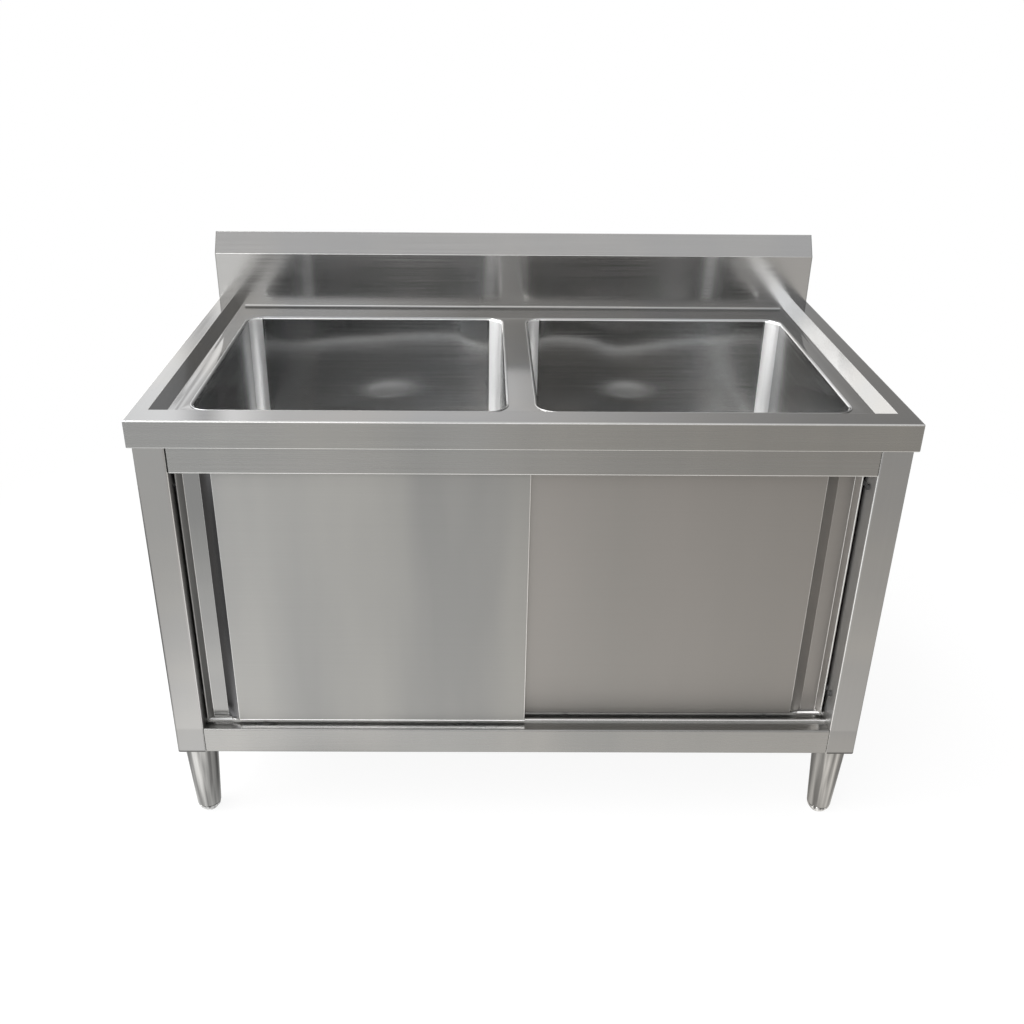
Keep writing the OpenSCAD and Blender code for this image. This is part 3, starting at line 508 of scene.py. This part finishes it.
def loft(rings, closed=True):
    """Vertices and faces of a skin over rings with the same number of points."""
    count = len(rings[0])
    verts = [v for ring in rings for v in ring]
    faces = []
    for r in range(len(rings) - 1):
        for i in range(count if closed else count - 1):
            j = (i + 1) % count
            faces.append((r * count + i, r * count + j, (r + 1) * count + j, (r + 1) * count + i))
    return verts, faces


def capped(rings):
    """A loft whose first and last ring are closed by flat faces."""
    verts, faces = loft(rings)
    count = len(rings[0])
    last = len(verts) - count
    return verts, faces + [tuple(range(count))[::-1], tuple(range(last, last + count))]


def merge(*parts):
    """Several (vertices, faces) pairs as one."""
    verts, faces = [], []
    for more_verts, more_faces in parts:
        faces += [tuple(i + len(verts) for i in face) for face in more_faces]
        verts += more_verts
    return verts, faces


def sheet(name, node, points, thickness, axis, start, end, material, body, bend=BEND):
    """One folded sheet extruded along an axis."""
    verts, faces = prism(section(points, thickness, bend), axis, start, end)
    mark_folds(piece(name, verts, faces, material, body, [node]).data)


def quarter_turn(steps):
    """The angles of a quarter turn, in even steps."""
    return [math.radians(90 * i / steps) for i in range(steps + 1)]


def rounded_ring(centre, half_w, half_d, radius, z, steps=8):
    """A ring of points round a rectangle with rounded corners, counter-clockwise."""
    ring = []
    for quarter, (sx, sy) in enumerate([(1, 1), (-1, 1), (-1, -1), (1, -1)]):
        for i in range(steps + 1):
            angle = math.radians(90 * (quarter + i / steps))
            ring.append(Vector((centre[0] + sx * (half_w - radius) + radius * math.cos(angle),
                                centre[1] + sy * (half_d - radius) + radius * math.sin(angle), z)))
    return ring


def fill_sides(ring, extra=12):
    """A rounded ring with more points along its sides, so that a round hole in it stays round."""
    corner = len(ring) // 4
    filled = []
    for quarter in range(4):
        filled += ring[quarter * corner:(quarter + 1) * corner]
        start, end = filled[-1], ring[(quarter + 1) * corner % len(ring)]
        filled += [start.lerp(end, (i + 1) / (extra + 1)) for i in range(extra)]
    return filled


# ---- worktop and bowls ----

def bowl_box(side):
    """Middle and inner half sizes of a bowl, from its node."""
    low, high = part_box(side + "_bowl")
    centre = ((low.x + high.x) / 2, (low.y + high.y) / 2)
    return centre, (high.x - low.x) / 2 - BOWL_FLANGE, (high.y - low.y) / 2 - BOWL_FLANGE


def worktop_profile():
    """Insets from the side and the front, and heights, from the hem over the rim to the deck."""
    t = TOP_T
    on_rim, before_slope = 20 * MM, 9 * MM      # two places on the flat rim, left out again
    path = arc_path([(2 * t, APRON_Z + HEM_H), (2 * t, APRON_Z), (0, APRON_Z), (0, RIM_Z),
                     (on_rim, RIM_Z)], APRON_BEND, 4)[:-1]
    profile = [(p.x, p.x, p.y) for p in path]
    inner = arc_path([(-before_slope, RIM_Z), (0, RIM_Z), (SLOPE_W, DECK_Z),
                      (DECK_MARGIN, DECK_Z)], FOLD_R, 4)[1:]
    return profile + [(RIM_SIDE + p.x, RIM_FRONT + p.x, p.y) for p in inner]


def rim_point(inset, side, angle):
    """A point of the rim's front corner: angle 0 looks to the side and 90 to the front."""
    side_in, front_in, z = inset
    if side_in >= CORNER_R:
        return Vector((side * (SIDE_X - side_in), FRONT_Y + front_in, z))
    reach = CORNER_R - side_in
    x = SIDE_X - CORNER_R + reach * math.cos(math.radians(angle))
    y = FRONT_Y + CORNER_R - reach * math.sin(math.radians(angle))
    return Vector((side * x, y, z))


def apron_skin():
    """The apron, rim and sloping band, along the left side, the front and the right side."""
    profile = worktop_profile()
    angles = [0, 30, 60, 90]
    left_end = [Vector((-SIDE_X + i, SPLASH_Y, z)) for i, _, z in profile]
    right_end = [Vector((SIDE_X - i, SPLASH_Y, z)) for i, _, z in profile]
    left = [[rim_point(p, -1, a) for p in profile] for a in angles]
    right = [[rim_point(p, 1, a) for p in profile] for a in reversed(angles)]
    return loft([left_end] + left + right + [right_end], closed=False)


def worktop_skin():
    """Vertices and faces of the worktop's outer side."""
    mesh = bmesh.new()
    skin_verts, skin_faces = apron_skin()
    verts = [mesh.verts.new(v) for v in skin_verts]
    for face in skin_faces:
        mesh.faces.new([verts[i] for i in reversed(face)])
    deck_x = SIDE_X - RIM_SIDE - DECK_MARGIN
    deck_rear = SPLASH_Y - DECK_FILLET
    add_deck(mesh, deck_x, FRONT_Y + RIM_FRONT + DECK_MARGIN, deck_rear)
    add_rear_fillet(mesh, deck_x, deck_rear)
    add_rear_apron(mesh)
    bmesh.ops.remove_doubles(mesh, verts=mesh.verts, dist=MERGE)
    bmesh.ops.dissolve_degenerate(mesh, edges=mesh.edges, dist=SLIVER)
    data = bpy.data.meshes.new("worktop_skin")
    mesh.to_mesh(data)
    mesh.free()
    verts = [v.co.copy() for v in data.vertices]
    faces = [tuple(p.vertices) for p in data.polygons]
    bpy.data.meshes.remove(data)
    return verts, faces


def build_worktop():
    """The worktop, with the brush marks along its sides turned, and a duller apron."""
    verts, faces = worktop_skin()
    mesh = piece("worktop_sheet", verts, faces, TOP_X, "frame", ["worktop"],
                 thickness=TOP_T).data
    turned = give(mesh, TOP_Y)
    apron = give(mesh, APRON)
    for polygon in mesh.polygons:
        side_in = SIDE_X - abs(polygon.center.x)
        front_in = polygon.center.y - FRONT_Y
        nearer_side = side_in - RIM_SIDE < front_in - RIM_FRONT
        if abs(polygon.normal.y) > FACING:
            polygon.material_index = apron
        elif (nearer_side or abs(polygon.normal.x) > FACING) and side_in <= RIM_SIDE + DECK_MARGIN:
            polygon.material_index = turned
    # Painted highlight lines on the worktop's bends.
    mark_folds(mesh)


def add_deck(mesh, deck_x, deck_front, deck_rear):
    """The flat deck with its two bowl openings."""
    corners = [(-deck_x, deck_front), (deck_x, deck_front), (deck_x, deck_rear),
               (-deck_x, deck_rear)]
    loops = [[Vector((x, y, DECK_Z)) for x, y in corners]]
    for side, _ in SIDES:
        centre, half_w, half_d = bowl_box(side)
        loops.append(rounded_ring(centre, half_w + LIP_R, half_d + LIP_R, BOWL_R + LIP_R, DECK_Z))
    edges = []
    for loop in loops:
        verts = [mesh.verts.new(v) for v in loop]
        edges += [mesh.edges.new((a, b)) for a, b in zip(verts, verts[1:] + verts[:1])]
    made = bmesh.ops.triangle_fill(mesh, edges=edges, use_beauty=True, normal=(0, 0, 1))
    for face in made["geom"]:
        if isinstance(face, bmesh.types.BMFace) and face.normal.z < 0:
            face.normal_flip()


def add_rear_fillet(mesh, deck_x, deck_rear):
    """The small bend that carries the deck up into the splashback."""
    rows = []
    for angle in quarter_turn(5):
        y = deck_rear + DECK_FILLET * math.sin(angle)
        z = DECK_Z + DECK_FILLET * (1 - math.cos(angle))
        rows.append([mesh.verts.new((x, y, z)) for x in (-deck_x, deck_x)])
    for near, far in zip(rows, rows[1:]):
        mesh.faces.new((near[0], near[1], far[1], far[0]))


def add_rear_apron(mesh):
    """The apron behind and beside the foot of the splashback."""
    outline = [(-SIDE_X, SPLASH_Y), (-SIDE_X, BACK_Y), (SIDE_X, BACK_Y), (SIDE_X, SPLASH_Y)]
    low = [mesh.verts.new((x, y, APRON_Z)) for x, y in outline]
    high = [mesh.verts.new((x, y, DECK_Z)) for x, y in outline]
    for i in range(3):
        mesh.faces.new((low[i + 1], low[i], high[i], high[i + 1]))


def bowl_walls(centre, half_w, half_d, floor):
    """Rings from the rolled lip down the walls and round the bend into the floor."""
    turns = [(LIP_R * (1 - math.sin(a)), DECK_Z - LIP_R * (1 - math.cos(a)))
             for a in quarter_turn(6)]
    turns += [(-FLOOR_R * (1 - math.cos(a)), floor + FLOOR_RISE + FLOOR_R * (1 - math.sin(a)))
              for a in quarter_turn(6)]
    return [fill_sides(rounded_ring(centre, half_w + out, half_d + out, BOWL_R + out, z))
            for out, z in turns]


def round_ring(outer, middle, radius, z):
    """A round ring with its points on the way from the middle to the outer ring's points."""
    ring = []
    for point in outer:
        away = (Vector((point.x, point.y, 0)) - middle).normalized()
        ring.append(middle + away * radius + Vector((0, 0, z)))
    return ring


def build_bowl(side):
    """A bowl, with painted highlights on the bend round its floor and on its upright corners."""
    centre, half_w, half_d = bowl_box(side)
    low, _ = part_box(side + "_bowl")
    floor = low.z + DRAIN_SEAT_H + SHEET_T
    rings = bowl_walls(centre, half_w, half_d, floor)
    flat = rings[-1]
    middle = Vector((*centre, 0))
    seat = round_ring(flat, middle, DRAIN_SEAT_R, floor)
    rings += [[a.lerp(b, share) for a, b in zip(flat, seat)] for share in FALL_SHARES]
    rings += [seat, round_ring(flat, middle, DRAIN_SEAT_R, floor - DRAIN_SEAT_H),
              round_ring(flat, middle, DRAIN_HOLE_R, floor - DRAIN_SEAT_H)]
    verts, faces = loft(rings)
    mesh = piece(side + "_bowl_sheet", verts, [f[::-1] for f in faces], BOWL, "frame",
                 [side + "_bowl"], thickness=SHEET_T).data
    fold = give(mesh, BOWL_FOLD_HIGHLIGHT)
    corner = give(mesh, CORNER_HIGHLIGHT)
    start = floor + FLOOR_RISE
    for polygon in mesh.polygons:
        if start < polygon.center.z < start + FLOOR_R:
            polygon.material_index = fold
        elif polygon.center.z > start and abs(polygon.normal.x * polygon.normal.y) > CORNER_TURN:
            polygon.material_index = corner


def splash_points():
    """The middle of the splashback's sheet, from its front foot over the top to its rear foot."""
    h = TOP_T / 2
    return [(SPLASH_Y + h, DECK_Z), (SPLASH_Y + h, DECK_Z + SPLASH_FOLD_H),
            (BACK_Y - h, SPLASH_TOP - h), (BACK_Y - h, DECK_Z)]


def build_splashback():
    sheet("splashback_sheet", "splashback", splash_points(), TOP_T, "x", splash_lo.x,
          splash_hi.x, SPLASH, "frame", SPLASH_BEND)


def build_end_caps():
    """The plates that close the splashback's ends, shaped to its outer side."""
    outline = offset_path(arc_path(splash_points(), SPLASH_BEND), TOP_T / 2)
    ends = [prism(outline, "x", x, x + TOP_T) for x in (-SIDE_X, SIDE_X - TOP_T)]
    verts, faces = merge(*ends)
    piece("splash_end_plates", verts, faces, TOP_Y, "frame", ["splash_end_caps"])


# ---- frame ----

def build_posts():
    """The square tubes, each with a painted highlight strip on the corner at its front inner side.
    """
    for name in CORNERS:
        node = name + "_post"
        low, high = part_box(node)
        centre = ((low.x + high.x) / 2, (low.y + high.y) / 2)
        half = (high.x - low.x) / 2
        inner = half - SHEET_T
        rings = [rounded_ring(centre, half, half, POST_R, z, 5) for z in (low.z, high.z)]
        rings += [rounded_ring(centre, inner, inner, POST_R - SHEET_T, z, 5)
                  for z in (high.z, low.z)]
        verts, faces = loft(rings + rings[:1])
        mesh = piece(node + "_tube", verts, faces, FRAME_Z, "frame", [node]).data
        # Painted highlight: the brighter fold metal on the corner facing the front and the door.
        highlight = give(mesh, FOLD)
        inward = -1 if centre[0] > 0 else 1
        for polygon in mesh.polygons:
            normal = polygon.normal
            turned = normal.y < -TURNED and normal.x * inward > TURNED
            if turned and polygon.area > LEAST_STRIP:
                polygon.material_index = highlight


def build_top_rail():
    h = SHEET_T / 2
    low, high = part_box("top_rail")
    points = [(low.y + RAIL_LIP, low.z + h), (low.y + h, low.z + h), (low.y + h, high.z - h),
              (high.y, high.z - h)]
    sheet("top_rail_sheet", "top_rail", points, SHEET_T, "x", low.x + RAIL_GAP, high.x,
          FRAME_X, "frame")


def build_shelf():
    """The shelf, folded down at all four edges."""
    h = SHEET_T / 2
    low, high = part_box("bottom_shelf")
    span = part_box("top_rail")[1].x
    y = high.y - h
    main = prism(section([(-y + RAIL_LIP, low.z + h), (-y, low.z + h), (-y, high.z - h),
                          (y, high.z - h), (y, low.z + h), (y - RAIL_LIP, low.z + h)],
                         SHEET_T, SHELF_BEND), "x", -span, span)
    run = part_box("side_top_rails")[1].y
    sides = [prism(section([(sx * (span - MM), high.z - h), (sx * (high.x - h), high.z - h),
                            (sx * (high.x - h), low.z)], SHEET_T, BEND), "y", -run, run)
             for _, sx in SIDES]
    verts, faces = merge(main, *sides)
    shelf = piece("bottom_shelf_sheet", verts, faces, FRAME_X, "frame", ["bottom_shelf"])
    shelf_painted_light(shelf.data, mark_folds(shelf.data))


def shelf_painted_light(mesh, metal):
    """Paints light onto the shelf in front of the left door, beyond the finger pull, with a
    brighter metal.
    """
    low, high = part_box("left_door_skin")
    start = low.x + PULL_W + STRIP_GAP
    work = bmesh.new()
    work.from_mesh(mesh)
    for place, way in (((0, low.y, 0), (0, 1, 0)), ((high.x, 0, 0), (1, 0, 0)),
                       ((start, 0, 0), (1, 0, 0))):
        bmesh.ops.bisect_plane(work, geom=work.verts[:] + work.edges[:] + work.faces[:],
                               plane_co=place, plane_no=way)
    for face in work.faces:
        spot = face.calc_center_median()
        if face.normal.z > FACING and spot.y < low.y and start < spot.x < high.x:
            face.material_index = metal
    work.to_mesh(mesh)
    work.free()


def build_side_panels():
    h = SHEET_T / 2
    for side, sx in SIDES:
        node = side + "_side_panel"
        low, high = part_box(node)
        outer = max(abs(low.x), abs(high.x))
        y = high.y - h
        sheet(node + "_sheet", node,
              [(sx * (outer - SIDE_FOLD), -y), (sx * (outer - h), -y), (sx * (outer - h), y),
               (sx * (outer - SIDE_FOLD), y)],
              SHEET_T, "z", low.z, high.z, FRAME_Y, "frame")


def build_feet():
    """The levelling feet: a chamfered end under a groove, on a threaded stud."""
    turns = [math.tau * i / FOOT_SIDES for i in range(FOOT_SIDES)]
    for name in CORNERS:
        node = name + "_foot"
        low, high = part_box(node)
        middle = (low + high) / 2
        profile = [(r * MM, low.z + z * MM) for r, z in FOOT] + [(STUD_R, high.z)]
        rings = [[Vector((middle.x + r * math.cos(a), middle.y + r * math.sin(a), z))
                  for a in turns] for r, z in profile]
        verts, faces = capped(rings)
        piece(node + "_end", verts, faces, FOOT_METAL, name + "_foot", [node],
              sharp=12)


# ---- doors ----

def door_outline(width, depth):
    """The skin's outline seen from above: from its outer edge, over the finger pull."""
    h = DOOR_T / 2
    points = [(h, depth), (h, h), (PULL_LIP, h), (FLOOR_START, PULL_DEPTH - h),
              (FLOOR_END, PULL_DEPTH - h), (PULL_W, h), (width - h, h), (width - h, depth)]
    return section(points, DOOR_T, DOOR_BEND, 4)


def pull_sill(low, high, sx):
    """The outline of the small bar that closes a finger pull's lower end."""
    front = DOOR_T / 2
    outline = [(PULL_LIP + 1 * MM, front), (PULL_LIP + PULL_WALL / 2, SILL_DEPTH),
               (SILL_END, SILL_DEPTH), (SILL_END + 3 * MM, front)]
    return [(low.x + u if sx < 0 else high.x - u, low.y + v) for u, v in outline]


def door_rings(low, high, sx):
    """Rings of the skin from its lower to its upper edge, at which its face turns in."""
    outline = door_outline(high.x - low.x, high.y - low.y)
    rows = [(low.z + d * MM, d * MM) for d in DOOR_ROWS]
    rows += [(high.z - d * MM, d * MM) for d in reversed(DOOR_ROWS)]
    rings = []
    for z, d in rows:
        roll = EDGE_ROLL - math.sqrt(max(EDGE_ROLL ** 2 - (EDGE_ROLL - d) ** 2, 0))
        ring = []
        for u, v in outline:
            turned_in = ROLL_SHARE * roll if v < DOOR_FACE else 0
            x = low.x + u if sx < 0 else high.x - u
            ring.append(Vector((x, low.y + v + turned_in, z)))
        rings.append(ring)
    return rings


def build_door(side, sx):
    low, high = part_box(side + "_door_skin")
    sill = prism(pull_sill(low, high, sx), "z", low.z, low.z + DOOR_T)
    verts, faces = merge(capped(door_rings(low, high, sx)), sill)
    door = piece(side + "_door_face", verts, faces, DOOR_L if sx < 0 else DOOR_R,
                 side + "_door", [side + "_door_skin"], sharp=35)
    colour_door(door.data, low, high, sx)


def colour_door(mesh, low, high, sx):
    """Metals of their own: painted highlights on the folds, the sill and the left door's lower
    edge, and painted shade in the left door's pull.
    """
    left = sx < 0
    mark_folds(mesh, low.x + HIGHLIGHT_START)
    pull = give(mesh, PULL_SHADE)
    sill = give(mesh, SILL_HIGHLIGHT)
    slope = give(mesh, SLOPE_SHADE)
    for polygon in mesh.polygons:
        height = polygon.center.z - low.z
        from_edge = polygon.center.x - low.x if left else high.x - polygon.center.x
        if from_edge > PULL_W:
            # Painted highlight line along the left door's lower edge.
            if left and EDGE_LINE < height < EDGE_ROLL and polygon.normal.y < -0.1:
                polygon.material_index = sill
        elif abs(height - DOOR_T) < 0.1 * MM and polygon.normal.z > FACING:
            polygon.material_index = sill
        # Painted shade on the floor and slope of the left door's pull.
        elif polygon.material_index == 0 and left and from_edge > FLOOR_START:
            polygon.material_index = slope if from_edge > FLOOR_END + MM else pull


# ---- stage ----

CAMERA_AT = Vector((-65.0, -1839.1, 1379.9)) * MM
CAMERA_PITCH = 26.86
CAMERA_YAW = 0.48
CAMERA_ROLL = 0.48
SENSOR_W = 36.0
FOCAL_PIXELS = 1075.87
IMAGE_PIXELS = 1024
SHIFT_PIXELS = 23.26


def build_camera():
    camera = bpy.data.cameras.new("camera")
    camera.sensor_width = SENSOR_W
    camera.lens = SENSOR_W * FOCAL_PIXELS / IMAGE_PIXELS
    camera.shift_x = SHIFT_PIXELS / IMAGE_PIXELS
    obj = bpy.data.objects.new("camera", camera)
    obj.matrix_world = (
        Matrix.Translation(CAMERA_AT)
        @ Matrix.Rotation(math.radians(-CAMERA_YAW), 4, "Z")
        @ Matrix.Rotation(math.radians(90 - CAMERA_PITCH), 4, "X")
        @ Matrix.Rotation(math.radians(CAMERA_ROLL), 4, "Z"))
    bpy.context.scene.collection.objects.link(obj)
    bpy.context.scene.camera = obj


# The studio that the metal mirrors. Its walls' levels go by the X of the direction looked in.
BEHIND = [(-0.9, 3.0), (-0.36, 2.1), (-0.32, 1.5), (-0.275, 1.7), (-0.25, 0.7), (-0.225, 1.7),
          (-0.19, 1.1), (0.0, 1.0), (0.2, 0.6), (0.3, 0.45), (0.36, 0.41), (1.0, 0.3)]
BEFORE = [(-1.0, 1.1), (-0.3, 1.2), (-0.13, 1.2), (0.0, 0.65), (0.3, 0.45), (1.0, 0.5)]
WALL_TURN = (-0.2, 0.3)     # Y from the wall before the unit to the one behind it
WARMTH = 0.02               # how much warmer the walls get to the right
WARM_START = -0.5
WINDOW = 7.5                # level of the bright front left side
SKYLIGHT = 7.0              # level of the window high up on the left
LAMP_ROW = 2.6              # level of the row of lights high up in front
ABOVE = 0.76                # level of the ceiling
PEAK = 7.5                  # brightest level of the studio

# Edges of those lights: the axis of the direction, where the light ends and where it is full.
WINDOW_EDGES = [("X", -0.26, -0.38), ("Y", 0.3, -0.1), ("Z", 0.08, 0.2), ("Z", 0.37, 0.31)]
SKYLIGHT_EDGES = [("X", -0.31, -0.37), ("X", -0.62, -0.5), ("Z", 0.42, 0.5), ("Z", 0.97, 0.92),
                  ("Y", 0.3, -0.1)]
LAMP_ROW_EDGES = [("Z", 0.36, 0.48), ("Y", -0.2, -0.5)]
LAMP_ROW_FADE = (1.0, 0.25, -0.1, 0.35)     # its share on the left and on the right, and their X
ABOVE_EDGES = [("Z", 0.62, 0.72)]


def within(tree, place, edges, *others):
    """A factor that is 1 inside all edges and 0 beyond any of them, times other factors."""
    factors = []
    for axis, off, full in edges:
        low, high = (0.0, 1.0) if off < full else (1.0, 0.0)
        step = ramp(tree, place, axis, low, high, min(off, full), max(off, full))
        factors.append((step, "Result"))
    return product(tree, *factors, *others)


def studio_ramp(tree, way, stops):
    """A light level, as a share of the peak, from left to right."""
    across = ramp(tree, way, "X", 0.0, 1.0, -1.0, 1.0)
    node = add(tree, "ShaderNodeValToRGB")
    elements = node.color_ramp.elements
    while len(elements) < len(stops):
        elements.new(0.5)
    for element, (x, level) in zip(elements, stops):
        element.position = (x + 1) / 2
        warm = WARMTH * (x + 1) if x > WARM_START else 0.0
        element.color = (level / PEAK, level / PEAK * (1 - warm / 2), level / PEAK * (1 - warm), 1)
    link(tree, across, "Result", node, "Fac")
    return node


def light_up(tree, room, factor, level):
    """The room, with a grey level where the factor, given as (node, output), is 1."""
    return blend(tree, factor[0], factor[1], (room, MIXED), (level / PEAK,) * 3)


def build_world():
    """A studio with a bright left side and a dimmer right side, white to the camera."""
    world = bpy.data.worlds.new("studio")
    bpy.context.scene.world = world
    world.use_nodes = True
    tree = world.node_tree
    shader = tree.nodes["Background"]
    coords = add(tree, "ShaderNodeTexCoord")
    way = add(tree, "ShaderNodeSeparateXYZ")
    link(tree, coords, "Generated", way, "Vector")
    before = studio_ramp(tree, way, BEFORE)
    behind = studio_ramp(tree, way, BEHIND)
    turn = ramp(tree, way, "Y", 0.0, 1.0, *WALL_TURN)
    room = blend(tree, turn, "Result", (before, "Color"), (behind, "Color"))
    room = light_up(tree, room, within(tree, way, WINDOW_EDGES), WINDOW)
    fade = ramp(tree, way, "X", *LAMP_ROW_FADE)
    row = within(tree, way, LAMP_ROW_EDGES, (fade, "Result"))
    room = light_up(tree, room, row, LAMP_ROW)
    room = light_up(tree, room, within(tree, way, ABOVE_EDGES), ABOVE)
    room = light_up(tree, room, within(tree, way, SKYLIGHT_EDGES), SKYLIGHT)
    path = add(tree, "ShaderNodeLightPath")
    room = light_up(tree, room, (path, "Is Camera Ray"), 1.0)
    tree.links.new(room.outputs[MIXED], shader.inputs["Color"])
    shader.inputs["Strength"].default_value = PEAK


# The floor that the metal mirrors. Its levels go by an axis, or by the distance from a place:
# what they go by, the first and last level, and where these are reached.
FLOOR_HALF = 12
FLOOR_TINTS = ((0.86, 0.86, 0.86), (0.9, 0.9, 0.9))
FLOOR_LEFT = (1.1, 1.1, 1.09)
FLOOR_RIGHT = (0.78, 0.75, 0.71)
FLOOR_SPAN = 0.8                            # X over which the left colour turns into the right one
POOL = (1.6, 1.58, 1.56)                    # light pool before the left door
POOL_SHARE = ((-0.55, -0.75, 0), 0.5, 0.0, 0.1, 0.6)
NEARER = ("Y", 0.77, 1.18, -1.4, -0.55)     # brighter towards the unit
BELOW_UNIT = ("Y", 1.0, 0.3, -0.4, -0.26)   # dark under it
FAR_LEFT = ((-1.45, -0.5, 0), 0.1, 1.0, 0.45, 0.75)
UNDER_RAIL = ((-0.35, -0.33, 0), 0.45, 1.0, 0.1, 0.26)
BEAM_EDGES = [("X", -0.2, -0.1), ("X", 0.0, -0.04), ("Y", -0.65, -0.9)]
BEAM = (1.2, 1.65)                          # level beside and in a beam of light towards the unit
FLOOR_FADE = (0.9, 1.0, 0.9, 1.8)           # share of the light, by the distance from the middle


def seen_directly(tree):
    """1 for camera, glossy and transmission rays, else 0."""
    path = add(tree, "ShaderNodeLightPath")
    either = add(tree, "ShaderNodeMath", operation="MAXIMUM")
    link(tree, path, "Is Camera Ray", either, 0)
    link(tree, path, "Is Glossy Ray", either, 1)
    every = add(tree, "ShaderNodeMath", operation="MAXIMUM")
    link(tree, either, "Value", every, 0)
    link(tree, path, "Is Transmission Ray", every, 1)
    return every, "Value"


def round_spot(tree, coords, centre, *levels):
    """A level that goes by the distance from a place on the floor."""
    away = add(tree, "ShaderNodeVectorMath", operation="DISTANCE")
    link(tree, coords, "Object", away, 0)
    away.inputs[1].default_value = centre
    return ramp(tree, away, "Value", *levels), "Result"


def floor_light(tree, coords):
    """The colour of the floor as the metal mirrors it, and plain white for the camera."""
    place = add(tree, "ShaderNodeSeparateXYZ")
    link(tree, coords, "Object", place, "Vector")
    across = ramp(tree, place, "X", 0.0, 1.0, -FLOOR_SPAN, FLOOR_SPAN)
    graded = blend(tree, across, "Result", FLOOR_LEFT, FLOOR_RIGHT)
    pool = round_spot(tree, coords, *POOL_SHARE)
    graded = blend(tree, pool[0], pool[1], (graded, MIXED), POOL)
    beam = within(tree, place, BEAM_EDGES)
    level = product(tree, (ramp(tree, place, *NEARER), "Result"),
                    (ramp(tree, place, *BELOW_UNIT), "Result"),
                    round_spot(tree, coords, *FAR_LEFT), round_spot(tree, coords, *UNDER_RAIL),
                    (ramp(tree, beam[0], beam[1], *BEAM, 0.0, 1.0), "Result"))
    lit = add(tree, "ShaderNodeVectorMath", operation="SCALE")
    tree.links.new(graded.outputs[MIXED], lit.inputs[0])
    link(tree, level[0], level[1], lit, "Scale")
    path = add(tree, "ShaderNodeLightPath")
    return blend(tree, path, "Is Camera Ray", (lit, "Vector"), (1.0, 1.0, 1.0))


def floor_material():
    """A pale matt floor that glows for the camera and the metal, and only takes shade besides."""
    material, tree, shader = new_material("floor")
    shader.inputs["Roughness"].default_value = 0.9
    coords = add(tree, "ShaderNodeTexCoord")
    cloud = noise(tree, coords, (1.5, 1.5, 1.5))
    link(tree, tint(tree, cloud, *FLOOR_TINTS), "Color", shader, "Base Color")
    glow = add(tree, "ShaderNodeEmission", Strength=1.0)
    tree.links.new(floor_light(tree, coords).outputs[MIXED], glow.inputs["Color"])
    reach = add(tree, "ShaderNodeVectorMath", operation="LENGTH")
    link(tree, coords, "Object", reach, "Vector")
    fade = ramp(tree, reach, "Value", *FLOOR_FADE)
    share = product(tree, seen_directly(tree), (fade, "Result"))
    mix = add(tree, "ShaderNodeMixShader")
    link(tree, share[0], share[1], mix, "Fac")
    link(tree, shader, "BSDF", mix, 1)
    link(tree, glow, "Emission", mix, 2)
    link(tree, mix, "Shader", tree.nodes["Material Output"], "Surface")
    return material


def build_floor():
    mesh = bpy.data.meshes.new("floor")
    half = FLOOR_HALF
    mesh.from_pydata([(-half, -half, 0), (half, -half, 0), (half, half, 0), (-half, half, 0)],
                     [], [(0, 1, 2, 3)])
    mesh.materials.append(floor_material())
    floor = bpy.data.objects.new("floor", mesh)
    bpy.context.scene.collection.objects.link(floor)


LAMPS = [  # name, place, aims at, width, height, watts
    ("left_window", (-2.4, -0.5, 2.0), (0.3, 0.1, 0.7), 1.6, 1.8, 60),
]


def build_lamps():
    for name, place, aim, width, height, power in LAMPS:
        light = bpy.data.lights.new(name, "AREA")
        light.shape = "RECTANGLE"
        light.size = width
        light.size_y = height
        light.energy = power
        obj = bpy.data.objects.new(name, light)
        obj.location = place
        away = Vector(aim) - Vector(place)
        obj.rotation_euler = away.to_track_quat("-Z", "Y").to_euler()
        obj.visible_camera = False
        bpy.context.scene.collection.objects.link(obj)


bpy.context.scene.view_settings.view_transform = "Standard"
build_camera()
build_world()
build_floor()
build_lamps()
dress_cad_nodes()
build_worktop()
build_bowl("left")
build_bowl("right")
build_splashback()
build_end_caps()
build_posts()
build_top_rail()
build_shelf()
build_feet()
build_side_panels()
build_door("left", -1)
build_door("right", 1)
